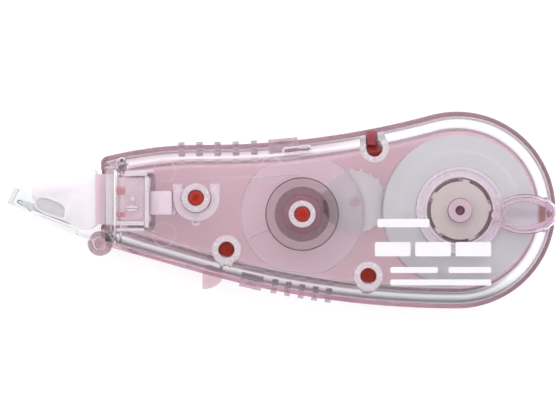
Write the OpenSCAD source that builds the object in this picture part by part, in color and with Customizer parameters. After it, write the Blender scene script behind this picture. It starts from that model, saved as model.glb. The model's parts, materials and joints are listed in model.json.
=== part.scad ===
// Correction tape roller: a drop-shaped case that pays correction tape out over a sprung
// applicator head and winds the spent backing onto a take-up reel through a slip clutch and
// three gears. Millimetres. It lies on its rear shell: +Z is the front, the head points to -X.

/* [Case] */
// Thickness over both shells
case_t = 14; // [12:0.5:18]
// Wall thickness of both shells
wall = 1.2; // [0.8:0.1:1.6]
// Radius of the round end
end_r = 16.75; // [16:0.25:18]
// X of the round end's centre
end_x = 30.1; // [29:0.1:32]
// X of the flat end around the mouth
mouth_x = -30.45; // [-32:0.05:-30]
// Height of the straight top edge above the centre line
top_y = 11.1; // [10:0.05:12]
// How far the front shell's side stands in from the rear shell's rim
front_inset = 0.9; // [0.5:0.1:1.2]
// Width and height of the front shell's rounded edge
front_round = [2.5, 3.2]; // [1:0.1:4]
// Radius of the rear shell's rounded edge
rear_round = 2.2; // [1.5:0.1:3]

/* [Tape] */
// Width of the tape
tape_w = 5; // [4:0.5:6]
// Thickness of the tape as drawn
tape_t = 0.12; // [0.1:0.01:0.2]
// Radius of the full pack
pack_r = 12.95; // [9:0.05:13]
// Outer radius of the core under the pack
core_r = 7.4; // [7:0.1:8]

/* [Gears] */
// Gear module
gear_m = 0.5; // [0.4:0.1:0.6]
// Teeth on the drive gear, the idler and the take-up pinion
teeth = [50, 21, 16]; // [10:1:60]
// Gear face width
gear_t = 1.4; // [1:0.1:1.6]
// Play between meshing flanks
backlash = 0.12; // [0.08:0.01:0.16]

/* [Axes] */
// Supply reel axis
supply = [30.45, -0.1]; // [-50:0.05:50]
// Take-up reel axis
take_up = [3.75, -0.7]; // [-50:0.05:50]
// Head pivot axis
head_pivot = [-14.2, 2.05]; // [-50:0.05:50]
// Cap hinge axis
cap_pivot = [-30.4, -5.65]; // [-50:0.05:50]
// The three pins that hold the shells together: lower left, upper, lower right
joint_pins = [[-9.05, -6.7], [15.95, 10.35], [14.9, -11.15]]; // [-50:0.05:50]

/* [Head] */
// Direction of the applicator blade and the closed cap, from +X
blade_a = 158.9; // [155:0.1:162]
// Distance from the cap hinge to the cap's front face
cap_len = 17.9; // [17:0.1:19]
// Width of the cap across the tape
cap_w = 9.2; // [9:0.1:9.4]

/* [Hidden] */
$fn = 64;

eps = 0.01;                      // overlap that makes a cut run clean through
mid_z = case_t / 2;              // tape centre plane and parting line
top_z = case_t - wall;           // inner face of the front shell
play = 0.06;                     // running clearance on a pin
slack = 0.3;                     // clearance between parts that only pass each other

// Outline of the case: the arcs that meet tangentially round its edge
left_arc_r = 66;                 // crown over the mouth
left_arc_x = -13.5;
waist_r = 148;                   // hollow curve into the round end
belly_r = 160;                   // long lower curve
corner_r = 1.2;
waist_x = end_x - sqrt(pow(waist_r + end_r, 2) - pow(top_y + waist_r, 2));
waist_a = asin((end_x - waist_x) / (waist_r + end_r));
belly_a = asin((end_x - left_arc_x) / belly_r);

// Gear train
pitch_r = [for (z = teeth) gear_m * z / 2];
addendum = 0.8 * gear_m;
dedendum = 1.15 * gear_m;
pressure_a = 20;
gear_z = wall + 0.5;             // underside of the gears
collar_t = 0.7;                  // collar on the drive gear under the core
train_d = norm(supply - take_up);
train_a = atan2(supply[1] - take_up[1], supply[0] - take_up[0]);
mesh_d = [pitch_r[0] + pitch_r[1], pitch_r[1] + pitch_r[2]];
idler_a = acos((pow(mesh_d[1], 2) + pow(train_d, 2) - pow(mesh_d[0], 2)) / (2 * mesh_d[1] * train_d));
idler = take_up + mesh_d[1] * [cos(train_a + idler_a), sin(train_a + idler_a)];

// Pins, bosses and reels
pin_r = 1.3;                     // upright pins of the rear shell
boss_r = 2.45;                   // front shell bosses over them
supply_post_r = 2;
post_bore = 0.8;                 // socket in the supply post for the front shell's spigot
post_rise = 1.2;                 // how far the supply post stands over the core
socket_floor = wall + 4;         // the supply post is solid below this
idler_pin_r = 0.85;
pin_top = top_z - 0.4;           // ends of the head and take-up pins
joint_pin_top = top_z - 2;       // ends of the joint pins, clear of the front shell's rounding
sleeve_r = 3.1;                  // bearing sleeves of the drive gear and the take-up hub
clutch_r = 5.55;                 // clutch drum inside the core
plate_r = 4.95;                  // clutch plate
plate_t = 0.5;
hub_r = [4.6, 6.05];             // take-up hub, inner and outer
reel_z = mid_z - tape_w / 2 - 0.9;    // underside of both reels
reel_top = mid_z + tape_w / 2 + 0.4;  // top of the core and hub
plate_z = reel_top - plate_t - 0.05;
flange_t = 0.5;
flange_r = 10.65;                // take-up flange
spent_r = 6.6;                   // first turns of spent backing on the hub
idler_disc_t = 0.3;              // disc that covers the idler's teeth
hub_web_t = 0.8;                 // web between the take-up hub and its sleeve
drum_gap = 0.05;                 // between the core and the clutch inside it

// Gauge window at the round end: a leaf between two arcs, its rim standing through the rounded edge
leaf_at = [41.3, -0.7];
leaf_bow = 8;
leaf_blunt = [37.2, 46.4];       // X where the leaf's points are cut off
leaf_half_h = 3.4;
leaf_rim = 1.4;

// Latch post beside the upper pin
latch_x = joint_pins[1][0] - 0.5;
latch_w = 1.7;

// Head
flange_x = [mouth_x - 0.6, mouth_x + 2.85];   // block that fills the mouth
flange_y = [-2.45, 6.1];
flange_w = 8;
head_travel = 0.75;              // room over the block for the head's tilt
nozzle_w = 6.6;                  // nozzle width at its tip
nozzle_wall = 0.7;
blade_w = tape_w + 0.3;
blade_t = [0.3, 0.4];             // below and above its middle
cheek_gap = tape_w + 0.8;         // between the nozzle's cheeks
tip = [-44.5, 1.45];             // end of the applicator blade
stem_y = [-0.85, 3.2];
cradle_r = [boss_r + 0.08, 4];
rail_w = 1;                      // the stem frame's side rails
feed_y = -1.55;                  // where the tapes cross the back of the block
return_y = 4.3;

// Cap and its hinge lug
hub_disc_r = 2.1;
stub_r = 0.95;
lug_gap = 0.2;                   // between the lug and the cap's cheeks
cap_wall = 1;
cap_floor = [-0.75, 0.15];        // the arm's faces either side of the hinge line
cup_len = 5.2;
cup_h = 3.7;
floor_start = 4.6;               // the floor between the arms starts clear of the lug
cap_open = 179;                  // angle the cap swings through

// ---- shared functions -------------------------------------------------------------------

function polar(r, a) = r * [cos(a), sin(a)];

function arc(centre, r, from, to, steps) =
    [for (i = [0:steps]) centre + polar(r, from + (to - from) * i / steps)];

// The case outline, moved in by inset, clockwise from the waist's end
function outline(inset) =
    let (corner = max(corner_r - inset, 0.15),
         corner_x = mouth_x + inset + corner,
         crown = [left_arc_x, top_y - left_arc_r],
         corner_y = crown[1] + sqrt(pow(left_arc_r - inset - corner, 2) - pow(corner_x - crown[0], 2)),
         corner_a = atan2(corner_y - crown[1], corner_x - crown[0]),
         belly_end = [end_x, belly_r - end_r] + polar(belly_r - inset, -90 - belly_a))
    concat(arc([end_x, 0], end_r - inset, 90 + waist_a, -90, 30),
           arc([end_x, belly_r - end_r], belly_r - inset, -91, -90 - belly_a, 8),
           [[mouth_x + inset, belly_end[1] + (belly_end[0] - mouth_x - inset) * tan(belly_a)]],
           arc([corner_x, corner_y], corner, 180, corner_a, 4),
           arc(crown, left_arc_r - inset, corner_a - 2, 90, 5),
           arc([waist_x, top_y + waist_r], waist_r + inset, 270, 270 + waist_a - 1, 9));

// Height of the outline's upper and lower edge at x
function upper_y(x) =
    x < left_arc_x ? top_y - left_arc_r + sqrt(pow(left_arc_r, 2) - pow(x - left_arc_x, 2)) :
    x < waist_x ? top_y : top_y + waist_r - sqrt(pow(waist_r, 2) - pow(x - waist_x, 2));
function lower_y(x) = belly_r - end_r - sqrt(pow(belly_r, 2) - pow(x - end_x, 2));

// A solid through outlines at rising levels, each [z, inset]
module loft(levels) {
    rings = [for (l = levels) outline(l[1])];
    n = len(rings[0]);
    last = len(levels) - 1;
    points = concat([for (i = [0:last]) for (p = rings[i]) [p[0], p[1], levels[i][0]]],
                    [for (i = [0, last]) [10, 0, levels[i][0]]]);
    sides = [for (i = [0:last - 1]) for (j = [0:n - 1])
        let (a = i * n + j, b = i * n + (j + 1) % n)
        for (face = [[a, b, a + n], [b, b + n, a + n]]) face];
    hub = n * len(levels);
    bottom = [for (j = [0:n - 1]) [hub, (j + 1) % n, j]];
    top = [for (j = [0:n - 1]) [hub + 1, last * n + j, last * n + (j + 1) % n]];
    polyhedron(points, concat(bottom, sides, top), convexity = 6);
}

// Levels of a quarter round: from the flat face to the side wall
function round_levels(z, up, inset, size) =
    [for (a = [0:22.5:90]) [z + up * size[1] * (1 - cos(a)), inset + size[0] * (1 - sin(a))]];

function reversed(list) = [for (i = [len(list) - 1:-1:0]) list[i]];

module tube(r, bore, z, h) {
    translate([0, 0, z])
        difference() {
            cylinder(r = r, h = h);
            translate([0, 0, -eps]) cylinder(r = bore, h = h + 2 * eps);
        }
}

module at(p) { translate([p[0], p[1], 0]) children(); }

// A slab of a plane shape, centred on the tape's plane
module across(width) {
    translate([0, 0, mid_z - width / 2]) linear_extrude(width) children();
}

// ---- gears ------------------------------------------------------------------------------

function involute(a) = tan(a) * 180 / PI - a;

function gear_outline(count) =
    let (pitch = gear_m * count / 2,
         base = pitch * cos(pressure_a),
         root = pitch - dedendum,
         tip_r = pitch + addendum,
         half = 90 / count - backlash / 4 / pitch * 180 / PI + involute(pressure_a),
         flank = [for (i = [0:4]) let (r = max(base, root) + (tip_r - max(base, root)) * i / 4)
             [r, half - involute(acos(min(1, base / r)))]],
         rise = root < base ? concat([[root, flank[0][1]]], flank) : flank)
    [for (k = [0:count - 1]) let (a = 360 * k / count)
        for (p = concat([for (q = rise) [q[0], -q[1]]], reversed(rise))) polar(p[0], a + p[1])];

// Turn that puts gear b in mesh with gear a, where b lies in the direction dir from a
function mesh_turn(turn_a, count_a, count_b, dir) =
    dir + 180 + 180 / count_b - (turn_a - dir) * count_a / count_b;

drive_turn = 0;
drive_dir = atan2(idler[1] - supply[1], idler[0] - supply[0]);
idler_turn = mesh_turn(drive_turn, teeth[0], teeth[1], drive_dir);
pinion_dir = train_a + idler_a + 180;
pinion_turn = mesh_turn(idler_turn, teeth[1], teeth[2], pinion_dir);

module gear(count, turn, bore) {
    rotate([0, 0, turn])
        translate([0, 0, gear_z])
            difference() {
                linear_extrude(gear_t) polygon(gear_outline(count));
                translate([0, 0, -eps]) cylinder(r = bore, h = gear_t + 2 * eps);
            }
}

// ---- case -------------------------------------------------------------------------------

// Opening in the flat end that the head's block fills
module mouth() {
    below = 0.2;
    translate([mouth_x - 1, flange_y[0] - below, mid_z - flange_w / 2 - slack])
        cube([wall + 2.2, flange_y[1] - flange_y[0] + below + head_travel, flange_w + 2 * slack]);
}

// Room for the cap's hub discs and arms, outside the hinge lug
module cap_relief() {
    depth = mid_z - cap_w / 2 + cap_wall + lug_gap + 1;
    arm = [7, 4, 0.65];          // length of the relief, and its sides below and above the hinge
    for (z = [-1, mid_z + cap_w / 2 - cap_wall - lug_gap])
        translate([cap_pivot[0], cap_pivot[1], z]) {
            cylinder(r = hub_disc_r + slack, h = depth);
            rotate([0, 0, blade_a + cap_open - 360])
                translate([0, -arm[1], 0]) cube([arm[0], arm[1] + arm[2], depth]);
        }
}

// Half of the hinge lug with its stub axle, from the parting line outwards
module hinge_lug(up) {
    side = cap_w / 2 - cap_wall - lug_gap;
    root = 0.5;                  // of the stub axle, inside the lug
    at(cap_pivot) {
        translate([0, 0, up ? mid_z : mid_z - side]) cylinder(r = hub_disc_r - 0.2, h = side);
        translate([0, 0, up ? mid_z + side - root : mid_z - cap_w / 2])
            cylinder(r = stub_r, h = cap_wall + lug_gap + root);
    }
}

module rear_hull() {
    loft(concat(round_levels(0, 1, 0, [rear_round, rear_round]), [[mid_z, 0]]));
}

module rear_hollow() {
    loft(concat(round_levels(wall, 1, wall, [rear_round - wall, rear_round - wall]), [[mid_z + 1, wall]]));
}

// Lower fin that shields the opened cap
module cap_fin() {
    translate([0, 0, mid_z - 4])
        linear_extrude(4)
            polygon(concat([[-13.2, -10.2], [-13.2, -13.4]],
                           arc([-12.9, -9.6], 3.85, 270, 318, 6),
                           [[-9.6, -11.1]]));
}

module rear_shell() {
    color([0.85, 0.5, 0.62, 0.5]) {
        difference() {
            union() {
                rear_hull();
                cap_fin();
            }
            rear_hollow();
            mouth();
            cap_relief();
        }
        hinge_lug(false);
        for (p = joint_pins)
            at(p) translate([0, 0, wall - eps]) cylinder(r = pin_r, h = joint_pin_top - wall);
        for (p = [head_pivot, take_up])
            at(p) translate([0, 0, wall - eps]) cylinder(r = pin_r, h = pin_top - wall);
        at(supply) tube(supply_post_r, post_bore, wall - eps, reel_top - wall + post_rise);
        at(supply) translate([0, 0, wall - eps]) cylinder(r = supply_post_r - 0.1, h = socket_floor - wall);
        at(idler) translate([0, 0, wall - eps]) cylinder(r = idler_pin_r, h = gear_t + 0.9);
        // Latch post from the upper pin out to the edge, in the front shell's slot
        latch_y = [joint_pins[1][1] + 0.6, upper_y(latch_x) - 0.4];
        translate([latch_x - latch_w / 2, latch_y[0], wall - eps])
            cube([latch_w, latch_y[1] - latch_y[0], case_t - 1.4 - wall]);
    }
}

module front_hull() {
    loft(concat([[mid_z, front_inset]],
                reversed(round_levels(case_t, -1, front_inset, front_round))));
}

module front_hollow() {
    inner = [front_round[0] - 0.4, front_round[1] - 0.4];
    loft(concat([[mid_z - 1, front_inset + wall]],
                reversed(round_levels(top_z, -1, front_inset + wall, inner))));
}

// The front shell's inside, a little short of its skin, that trims the bosses
module front_fill() {
    short = 0.3;
    loft(concat([[wall, front_inset + short]],
                reversed(round_levels(case_t - short, -1, front_inset + short, front_round))));
}

// Lip that locates the front shell inside the rear one
module locating_lip() {
    translate([0, 0, mid_z - 0.8])
        linear_extrude(1.3)
            difference() {
                polygon(outline(wall + 0.15));
                polygon(outline(front_inset + wall));
                translate(cap_pivot) circle(r = hub_disc_r + slack);
            }
}

// The gauge window's leaf, moved in by inset
module leaf(inset) {
    intersection() {
        translate(leaf_at)
            intersection_for (s = [-1, 1])
                translate([0, s * (leaf_bow - leaf_half_h)]) circle(r = leaf_bow - inset);
        translate([leaf_blunt[0] + inset / 3, -5])
            square([leaf_blunt[1] - leaf_blunt[0] - inset / 2, 10]);
    }
}

// Rim and pane of the gauge window
module gauge_window() {
    foot = reel_top + 0.4;
    translate([0, 0, foot])
        linear_extrude(case_t - 0.6 - foot)
            intersection() {
                difference() {
                    leaf(0);
                    leaf(leaf_rim);
                }
                polygon(outline(0.4));
            }
    translate([0, 0, top_z - 0.6]) linear_extrude(0.8) leaf(leaf_rim - eps);
}

// Slot in the front shell for the latch post
module latch_slot() {
    gap = 0.15;
    translate([latch_x - latch_w / 2 - gap, joint_pins[1][1], mid_z - 1])
        cube([latch_w + 2 * gap, 6, case_t]);
}

// Square edge over the mouth, where the head's block leaves no room for the rounding
module mouth_lintel() {
    foot = mid_z + flange_w / 2 + slack;
    y = [flange_y[0] - 1.2, flange_y[1] + 1.8];
    translate([mouth_x + front_inset, y[0], foot]) cube([wall, y[1] - y[0], case_t - foot]);
    translate([mouth_x + front_inset, y[0], top_z]) cube([4, y[1] - y[0], wall]);
}

// Grip ribs along the upper and lower edge, each [x, length]
module grip_ribs() {
    rib_h = 3;
    proud = 0.45;
    root = 1.6;                  // depth from the outline into the front shell's wall
    upper = concat([for (i = [0:4]) [-16.7 + 3.07 * i, 1.1]], [[0.5, 5]]);
    lower = concat([[-5, 3.8]], [for (i = [0:4]) [-1.1 + 2.3 * i, 1]]);
    for (r = upper)
        translate([r[0], upper_y(r[0]), mid_z + rib_h / 2 + 0.3])
            rotate([0, 0, atan2(upper_y(r[0] + 1) - upper_y(r[0] - 1), 2)])
                translate([0, (proud - root) / 2, 0]) cube([r[1], root + proud, rib_h], center = true);
    for (r = lower)
        translate([r[0], lower_y(r[0]), mid_z + rib_h / 2 + 0.3])
            rotate([0, 0, atan2(lower_y(r[0] + 1) - lower_y(r[0] - 1), 2)])
                translate([0, -(proud - root) / 2, 0]) cube([r[1], root + proud, rib_h], center = true);
}

// A bar with round ends, its end circles that far from the middle
module stadium(reach, r) {
    for (s = [-1, 1]) translate([s * reach, 0]) circle(r = r);
    square([2 * reach, 2 * r], center = true);
}

// Long loop that stands on the rounded upper edge
module edge_loop() {
    reach = 1.9;
    x = 2.9;
    translate([x, upper_y(x) - 1.75, case_t - 1.5])
        rotate([0, 0, atan2(upper_y(x + 2) - upper_y(x - 2), 4)])
            linear_extrude(1.15)
                difference() {
                    stadium(reach, 0.62);
                    stadium(reach, 0.3);
                }
}

// Bars under the front face round the root of the head, each [x, y, length, height]
module head_frame() {
    thick = 0.75;
    for (b = [[-26.2, 5.7, 3.8, 0.85], [-22.85, -2.95, 0.75, 8.6],
              [-27.6, -2.6, 4.7, 0.73], [-27.6, -3.6, 4.7, 0.54]])
        translate([b[0], b[1], top_z - thick]) cube([b[2], b[3], thick + eps]);
}

// A boss of the front shell over a rear pin, reaching down to foot
module pin_boss(foot, r = boss_r) {
    tube(r, pin_r + play, foot, top_z - foot + eps);
}

module front_shell() {
    color([0.93, 0.92, 0.95, 0.35]) {
        difference() {
            union() {
                front_hull();
                grip_ribs();
                locating_lip();
            }
            front_hollow();
            mouth();
            cap_relief();
            latch_slot();
            translate([0, 0, reel_top + 0.4]) linear_extrude(case_t) leaf(leaf_rim / 2);
        }
        mouth_lintel();
        edge_loop();
        head_frame();
        hinge_lug(true);
        intersection() {
            difference() {
                // the upper boss stops at the parting line, over the rear shell's wall
                for (i = [0:2]) at(joint_pins[i]) pin_boss(i == 1 ? mid_z + eps : mid_z - 2.5);
                latch_slot();
            }
            front_fill();
        }
        at(head_pivot) pin_boss(wall + 1.6);
        at(take_up) pin_boss(gear_z + gear_t + slack, boss_r - 0.15);
        at(supply) translate([0, 0, reel_top]) cylinder(r = post_bore - play, h = top_z - reel_top + eps);
        // Ribs from the two lower bosses to the side wall
        for (p = [joint_pins[0], joint_pins[2]])
            for (s = [-0.75, 0.75])
                translate([p[0] + s - 0.25, lower_y(p[0]) + front_inset + wall + 0.4, reel_top])
                    cube([0.5, p[1] - boss_r - lower_y(p[0]) - front_inset - wall, top_z - reel_top + eps]);
        gauge_window();
    }
}

// ---- head -------------------------------------------------------------------------------

// Clear cage that guides the head's frame inside the case
module head_cage() {
    x = [-26.2, -21.3];
    y = [-3.55, 6.95];
    bar = 0.7;
    color([0.95, 0.9, 0.94, 0.5])
        translate([0, 0, wall])
            difference() {
                translate([x[0], y[0], 0]) cube([x[1] - x[0], y[1] - y[0], top_z - wall - 0.8]);
                translate([x[0] - 1, y[0] + bar, bar])
                    cube([x[1] - x[0] + 2, y[1] - y[0] - 2 * bar, top_z - wall]);
                // the lower bar stays below the tape
                translate([x[0] - 1, y[0] - 1, mid_z - tape_w / 2 - slack - wall])
                    cube([x[1] - x[0] + 2, 2 + bar, top_z]);
            }
}

// Side profile of the nozzle, moved in by inset
module nozzle_profile(inset) {
    offset(delta = -inset)
        polygon(concat([[flange_x[1], flange_y[0]], [flange_x[1], flange_y[1]], [flange_x[0], flange_y[1]]],
                       arc([flange_x[0] - 2.4, flange_y[1] + 0.75], 2.1, 0, -88, 5),
                       [[-42, 4.45], [-42.05, 1.95], [-41.3, 0.25], [-39.8, -0.75], [-36.5, -1.8],
                        [-35.2, -2.6]],
                       arc([-32.9, -1.3], 2.1, 240, 300, 4),
                       [[flange_x[0], flange_y[0]]]));
}

// Plan of the nozzle, widening from its tip to the block
module nozzle_plan(inset) {
    w = flange_w / 2 - inset;
    t = nozzle_w / 2 - inset;
    back = flange_x[1] + 1;
    shoulder = [flange_x[0] - 1.6, flange_x[0] - 0.2];
    polygon([[back, -w], [back, w], [shoulder[1], w], [shoulder[0], w - 0.7], [-38, t], [-44, t],
             [-44, -t], [-38, -t], [shoulder[0], 0.7 - w], [shoulder[1], -w]]);
}

module nozzle_body(inset) {
    intersection() {
        across(flange_w) nozzle_profile(inset);
        translate([0, 10, mid_z]) rotate([90, 0, 0]) linear_extrude(20) nozzle_plan(inset);
    }
}

module head_nozzle() {
    color([0.94, 0.92, 0.95])
        difference() {
            nozzle_body(0);
            nozzle_body(nozzle_wall);
            // slots through the block for the two runs of tape, with room for the tilt
            across(blade_w + 0.3) translate([flange_x[1] - 2, -2]) square([3, 0.9]);
            across(blade_w + 0.3) translate([flange_x[1] - 2, 3.6]) square([3, 1.4]);
            // open nose and underside, where the blade leaves the nozzle
            across(cheek_gap) translate([-43, -3]) square([6.4, 6.3]);
            across(cheek_gap) translate([-36.7, -3.7]) square([3.1, 3]);
            // channel for the tape on its way to the blade
            across(blade_w + 0.3)
                polygon([[-34, -2.5], [-31, -2.12], [-27, -1.75], [-27, -1.1], [-34, -1.1]]);
            // windows in both cheeks
            across(flange_w + 2)
                polygon([[-43, -3], [-36.5, -3], [-36.5, 0.4], [-37, 0.95], [-39.4, 1.85],
                         [-40.4, 1.2], [-43, 0]]);
        }
}

// Frame, stem and cradle that carry the nozzle on the head pivot
module head_stem() {
    rail_x = [flange_x[1] + eps, -21.9];
    color([0.93, 0.87, 0.92]) {
        for (z = [mid_z - flange_w / 2 + 0.15, mid_z + flange_w / 2 - 0.15 - rail_w])
            translate([0, 0, z])
                linear_extrude(rail_w)
                    difference() {
                        translate([rail_x[0], -2.05]) square([rail_x[1] - rail_x[0], 7.5]);
                        translate([rail_x[0] - 1, -0.65]) square([rail_x[1] - rail_x[0] + 0.2, 4.4]);
                    }
        difference() {
            union() {
                across(flange_w - 0.3)
                    translate([rail_x[1] - 0.8, stem_y[0]]) square([4.4, stem_y[1] - stem_y[0]]);
                across(tape_w)
                    translate([rail_x[1] + 3, stem_y[0]]) square([5, stem_y[1] - stem_y[0] - 0.4]);
                at(head_pivot) translate([0, 0, mid_z - 3]) cylinder(r = cradle_r[1], h = 6);
                for (s = [-1, 1])
                    across(tape_w)
                        translate([head_pivot[0] + s * 3.15 - 0.85, head_pivot[1]]) square([1.7, 2.35]);
                at(head_pivot + [0, -cradle_r[1]]) translate([0, 0, mid_z - 2.5]) cylinder(r = 0.8, h = 5);
            }
            at(head_pivot) translate([0, 0, mid_z - 5]) cylinder(r = cradle_r[0], h = 10);
            // the cradle is open above, so that it drops over the boss
            across(12) translate([head_pivot[0] - 2.3, head_pivot[1]]) square([4.6, 6]);
            across(12) translate([head_pivot[0] - 6, head_pivot[1] + 2.36]) square([12, 3]);
        }
    }
}

// Blade in the head's frame: x back along the blade from its tip, y on the feed side
module on_blade() {
    translate([tip[0], tip[1], 0]) rotate([0, 0, blade_a - 180]) children();
}

module applicator_blade() {
    len = 9.6;
    color([0.97, 0.97, 0.98, 0.6])
        on_blade() {
            across(blade_w)
                polygon([[0.12, -0.16], [0.12, 0.16], [1.6, blade_t[1]], [len, blade_t[1] + 0.25],
                         [len, -blade_t[0]], [1.6, -blade_t[0]]]);
            // root, pressed between the nozzle's cheeks
            across(cheek_gap + 0.04) translate([len - 1.3, -0.15]) square([1.3, 0.6]);
            // fences that keep the tape on the blade
            for (s = [-1, 1])
                translate([0, 0, mid_z + s * (tape_w / 2 + 0.16) - 0.11])
                    linear_extrude(0.22)
                        polygon([[1, -0.4], [1, 0.6], [3, 0.75], [len, 0.8], [len, -0.45], [3, -0.45]]);
        }
}

// A ribbon of tape along a path, with its sides half its thickness either way
module ribbon(path) {
    n = len(path);
    along = [for (i = [0:n - 1]) let (d = path[min(i + 1, n - 1)] - path[max(i - 1, 0)]) d / norm(d)];
    side = [for (d = along) [-d[1], d[0]] * tape_t / 2];
    across(tape_w)
        polygon(concat([for (i = [0:n - 1]) path[i] + side[i]],
                       [for (i = [n - 1:-1:0]) path[i] - side[i]]));
}

// Tape path round a post, from one angle to another
function wrap(centre, r, from, to) = arc(centre, r + tape_t / 2 + 0.05, from, to, 6);

feed_slot = [flange_x[1] + 0.25, feed_y];
return_slot = [flange_x[1] + 0.25, return_y];
left_guide = joint_pins[0];
right_guide = joint_pins[2];
guide_r = boss_r + tape_t / 2 + 0.05;
pack_tape_r = pack_r + tape_t / 2 + 0.05;
left_in_a = let (d = left_guide - feed_slot) atan2(d[1], d[0]) - asin(guide_r / norm(d));
between_a = let (d = right_guide - left_guide) atan2(d[1], d[0]);
right_out_a = let (d = supply - right_guide) atan2(d[1], d[0]) - asin((pack_tape_r - guide_r) / norm(d));
spent_tape_r = spent_r + tape_t / 2 + 0.05;
spent_in_a = let (d = take_up - return_slot) atan2(d[1], d[0]) + asin(spent_tape_r / norm(d));

// Tape from the pack, under the two guide bosses, to the back of the head
module feed_tape() {
    color("white")
        ribbon(concat([feed_slot],
                      wrap(left_guide, boss_r, left_in_a - 90, between_a - 90),
                      wrap(right_guide, boss_r, between_a - 90, right_out_a - 90),
                      [supply + polar(pack_tape_r, right_out_a - 90)]));
}

// Spent backing from the back of the head to the take-up hub
module return_tape() {
    color([0.9, 0.88, 0.9, 0.7])
        ribbon([return_slot, take_up + polar(spent_tape_r, 90 + spent_in_a)]);
}

// Tape in the head: down the blade, round its tip and back
module tip_tape() {
    color("white") {
        gap = 0.08 + tape_t / 2;
        turn = blade_a - 180;
        local = concat([[9.8, -blade_t[0] - gap], [1.6, -blade_t[0] - gap]],
                       arc([0.15, 0], 0.16 + gap, 265, 95, 8),
                       [[1.6, blade_t[1] + gap + 0.02], [8.6, blade_t[1] + 0.3 + gap]]);
        world = [for (p = local) tip + [cos(turn) * p[0] - sin(turn) * p[1],
                                        sin(turn) * p[0] + cos(turn) * p[1]]];
        ribbon(concat([[flange_x[1] - 0.1, feed_y]], world, [[flange_x[1] - 0.1, return_y]]));
    }
}

// ---- cap --------------------------------------------------------------------------------

// Cap in its own frame: x from the hinge to the tip, y away from the head
module cap_side() {
    difference() {
        union() {
            circle(r = hub_disc_r);
            translate([0, cap_floor[0]]) square([cap_len - 1, cap_floor[1] - cap_floor[0]]);
            translate([cap_len - cup_len, -cup_h + 0.6]) square([cup_len - 1, cup_h]);
            translate([cap_len - cup_len + 0.6, -cup_h]) square([cup_len - 0.6, cup_h - 1]);
            translate([cap_len - cup_len + 0.6, -cup_h + 0.6]) circle(r = 0.6);
            translate([cap_len - 1, cap_floor[1] - 1]) circle(r = 1);
            translate([cap_len - 1, -cup_h + 1]) square([1, cup_h - 1.72]);
        }
        circle(r = stub_r + play);
    }
}

module tip_cap() {
    color([0.95, 0.96, 0.97, 0.35])
        at(cap_pivot)
            rotate([0, 0, blade_a]) {
                for (z = [mid_z - cap_w / 2, mid_z + cap_w / 2 - cap_wall])
                    translate([0, 0, z]) linear_extrude(cap_wall) cap_side();
                across(cap_w - 2 * cap_wall + 2 * eps) {
                    translate([floor_start, cap_floor[0]])
                        square([cap_len - floor_start - 1, cap_floor[1] - cap_floor[0]]);
                    difference() {
                        union() {
                            translate([cap_len - 1, cap_floor[1] - 1]) circle(r = 1);
                            translate([cap_len - 0.85, -cup_h]) square([0.85, cup_h - 0.72]);
                        }
                        translate([cap_len - 2.4, -2.9]) square([1.55, 2.1]);
                    }
                }
            }
}

// ---- supply reel and clutch -------------------------------------------------------------

module drive_gear() {
    color([0.93, 0.88, 0.9, 0.6])
        at(supply) {
            gear(teeth[0], drive_turn, supply_post_r + play);
            tube(sleeve_r, supply_post_r + play, gear_z, plate_z - gear_z - eps);
            tube(sleeve_r + 1.2, sleeve_r - 0.1, gear_z + gear_t - eps, collar_t);
        }
}

// Sprung arms that rub inside the core and slip when the take-up runs too fast
module clutch_spring() {
    thick = 0.8;
    gap = 0.05;                  // under the clutch plate
    color([0.42, 0.34, 0.33])
        at(supply)
            translate([0, 0, plate_z - gap - thick]) {
                tube(sleeve_r + 0.8, sleeve_r + 0.02, 0, thick);
                for (a = [20:72:350])
                    rotate([0, 0, a]) {
                        difference() {
                            tube(clutch_r - 0.12, clutch_r - 0.62, 0, thick);
                            translate([-10, -20, -1]) cube([20, 20, 3]);
                            rotate([0, 0, 50]) translate([-10, 0, -1]) cube([20, 20, 3]);
                        }
                        rotate([0, 0, 24])
                            translate([sleeve_r + 0.6, -0.35, 0])
                                cube([clutch_r - sleeve_r - 1, 0.7, thick]);
                    }
            }
}

// Plate on the drive gear's sleeve that keeps the spring and the core in place
module clutch_plate() {
    color([0.86, 0.8, 0.8])
        at(supply)
            difference() {
                union() {
                    translate([0, 0, plate_z]) cylinder(r = plate_r, h = plate_t);
                    for (a = [0:72:350])
                        rotate([0, 0, a + 6])
                            translate([plate_r - 0.35, -0.55, plate_z]) cube([0.75, 1.1, plate_t]);
                }
                translate([0, 0, reel_top - 1]) cylinder(r = supply_post_r + play, h = 2);
            }
}

module supply_core() {
    color([0.93, 0.88, 0.93])
        at(supply) tube(core_r, clutch_r + drum_gap, reel_z + flange_t, reel_top - reel_z - flange_t);
}

module supply_flange() {
    color([0.92, 0.92, 0.94, 0.5])
        at(supply) tube(pack_r + 0.3, clutch_r + drum_gap, reel_z, flange_t);
}

module supply_tape() {
    color([0.93, 0.93, 0.94])
        at(supply) tube(pack_r, core_r, mid_z - tape_w / 2, tape_w);
}

// ---- idler and take-up reel -------------------------------------------------------------

module idler_gear() {
    color([0.95, 0.95, 0.96])
        at(idler) {
            gear(teeth[1], idler_turn, idler_pin_r + play);
            tube(pitch_r[1] - dedendum - 0.2, idler_pin_r + play, gear_z + 1, gear_t + idler_disc_t - 1);
            tube(pitch_r[1] + 0.1, idler_pin_r + play, gear_z + gear_t + 0.02, idler_disc_t - 0.02);
        }
}

module take_up_pinion() {
    color([0.93, 0.9, 0.93, 0.7])
        at(take_up) gear(teeth[2], pinion_turn, pin_r + play);
}

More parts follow.
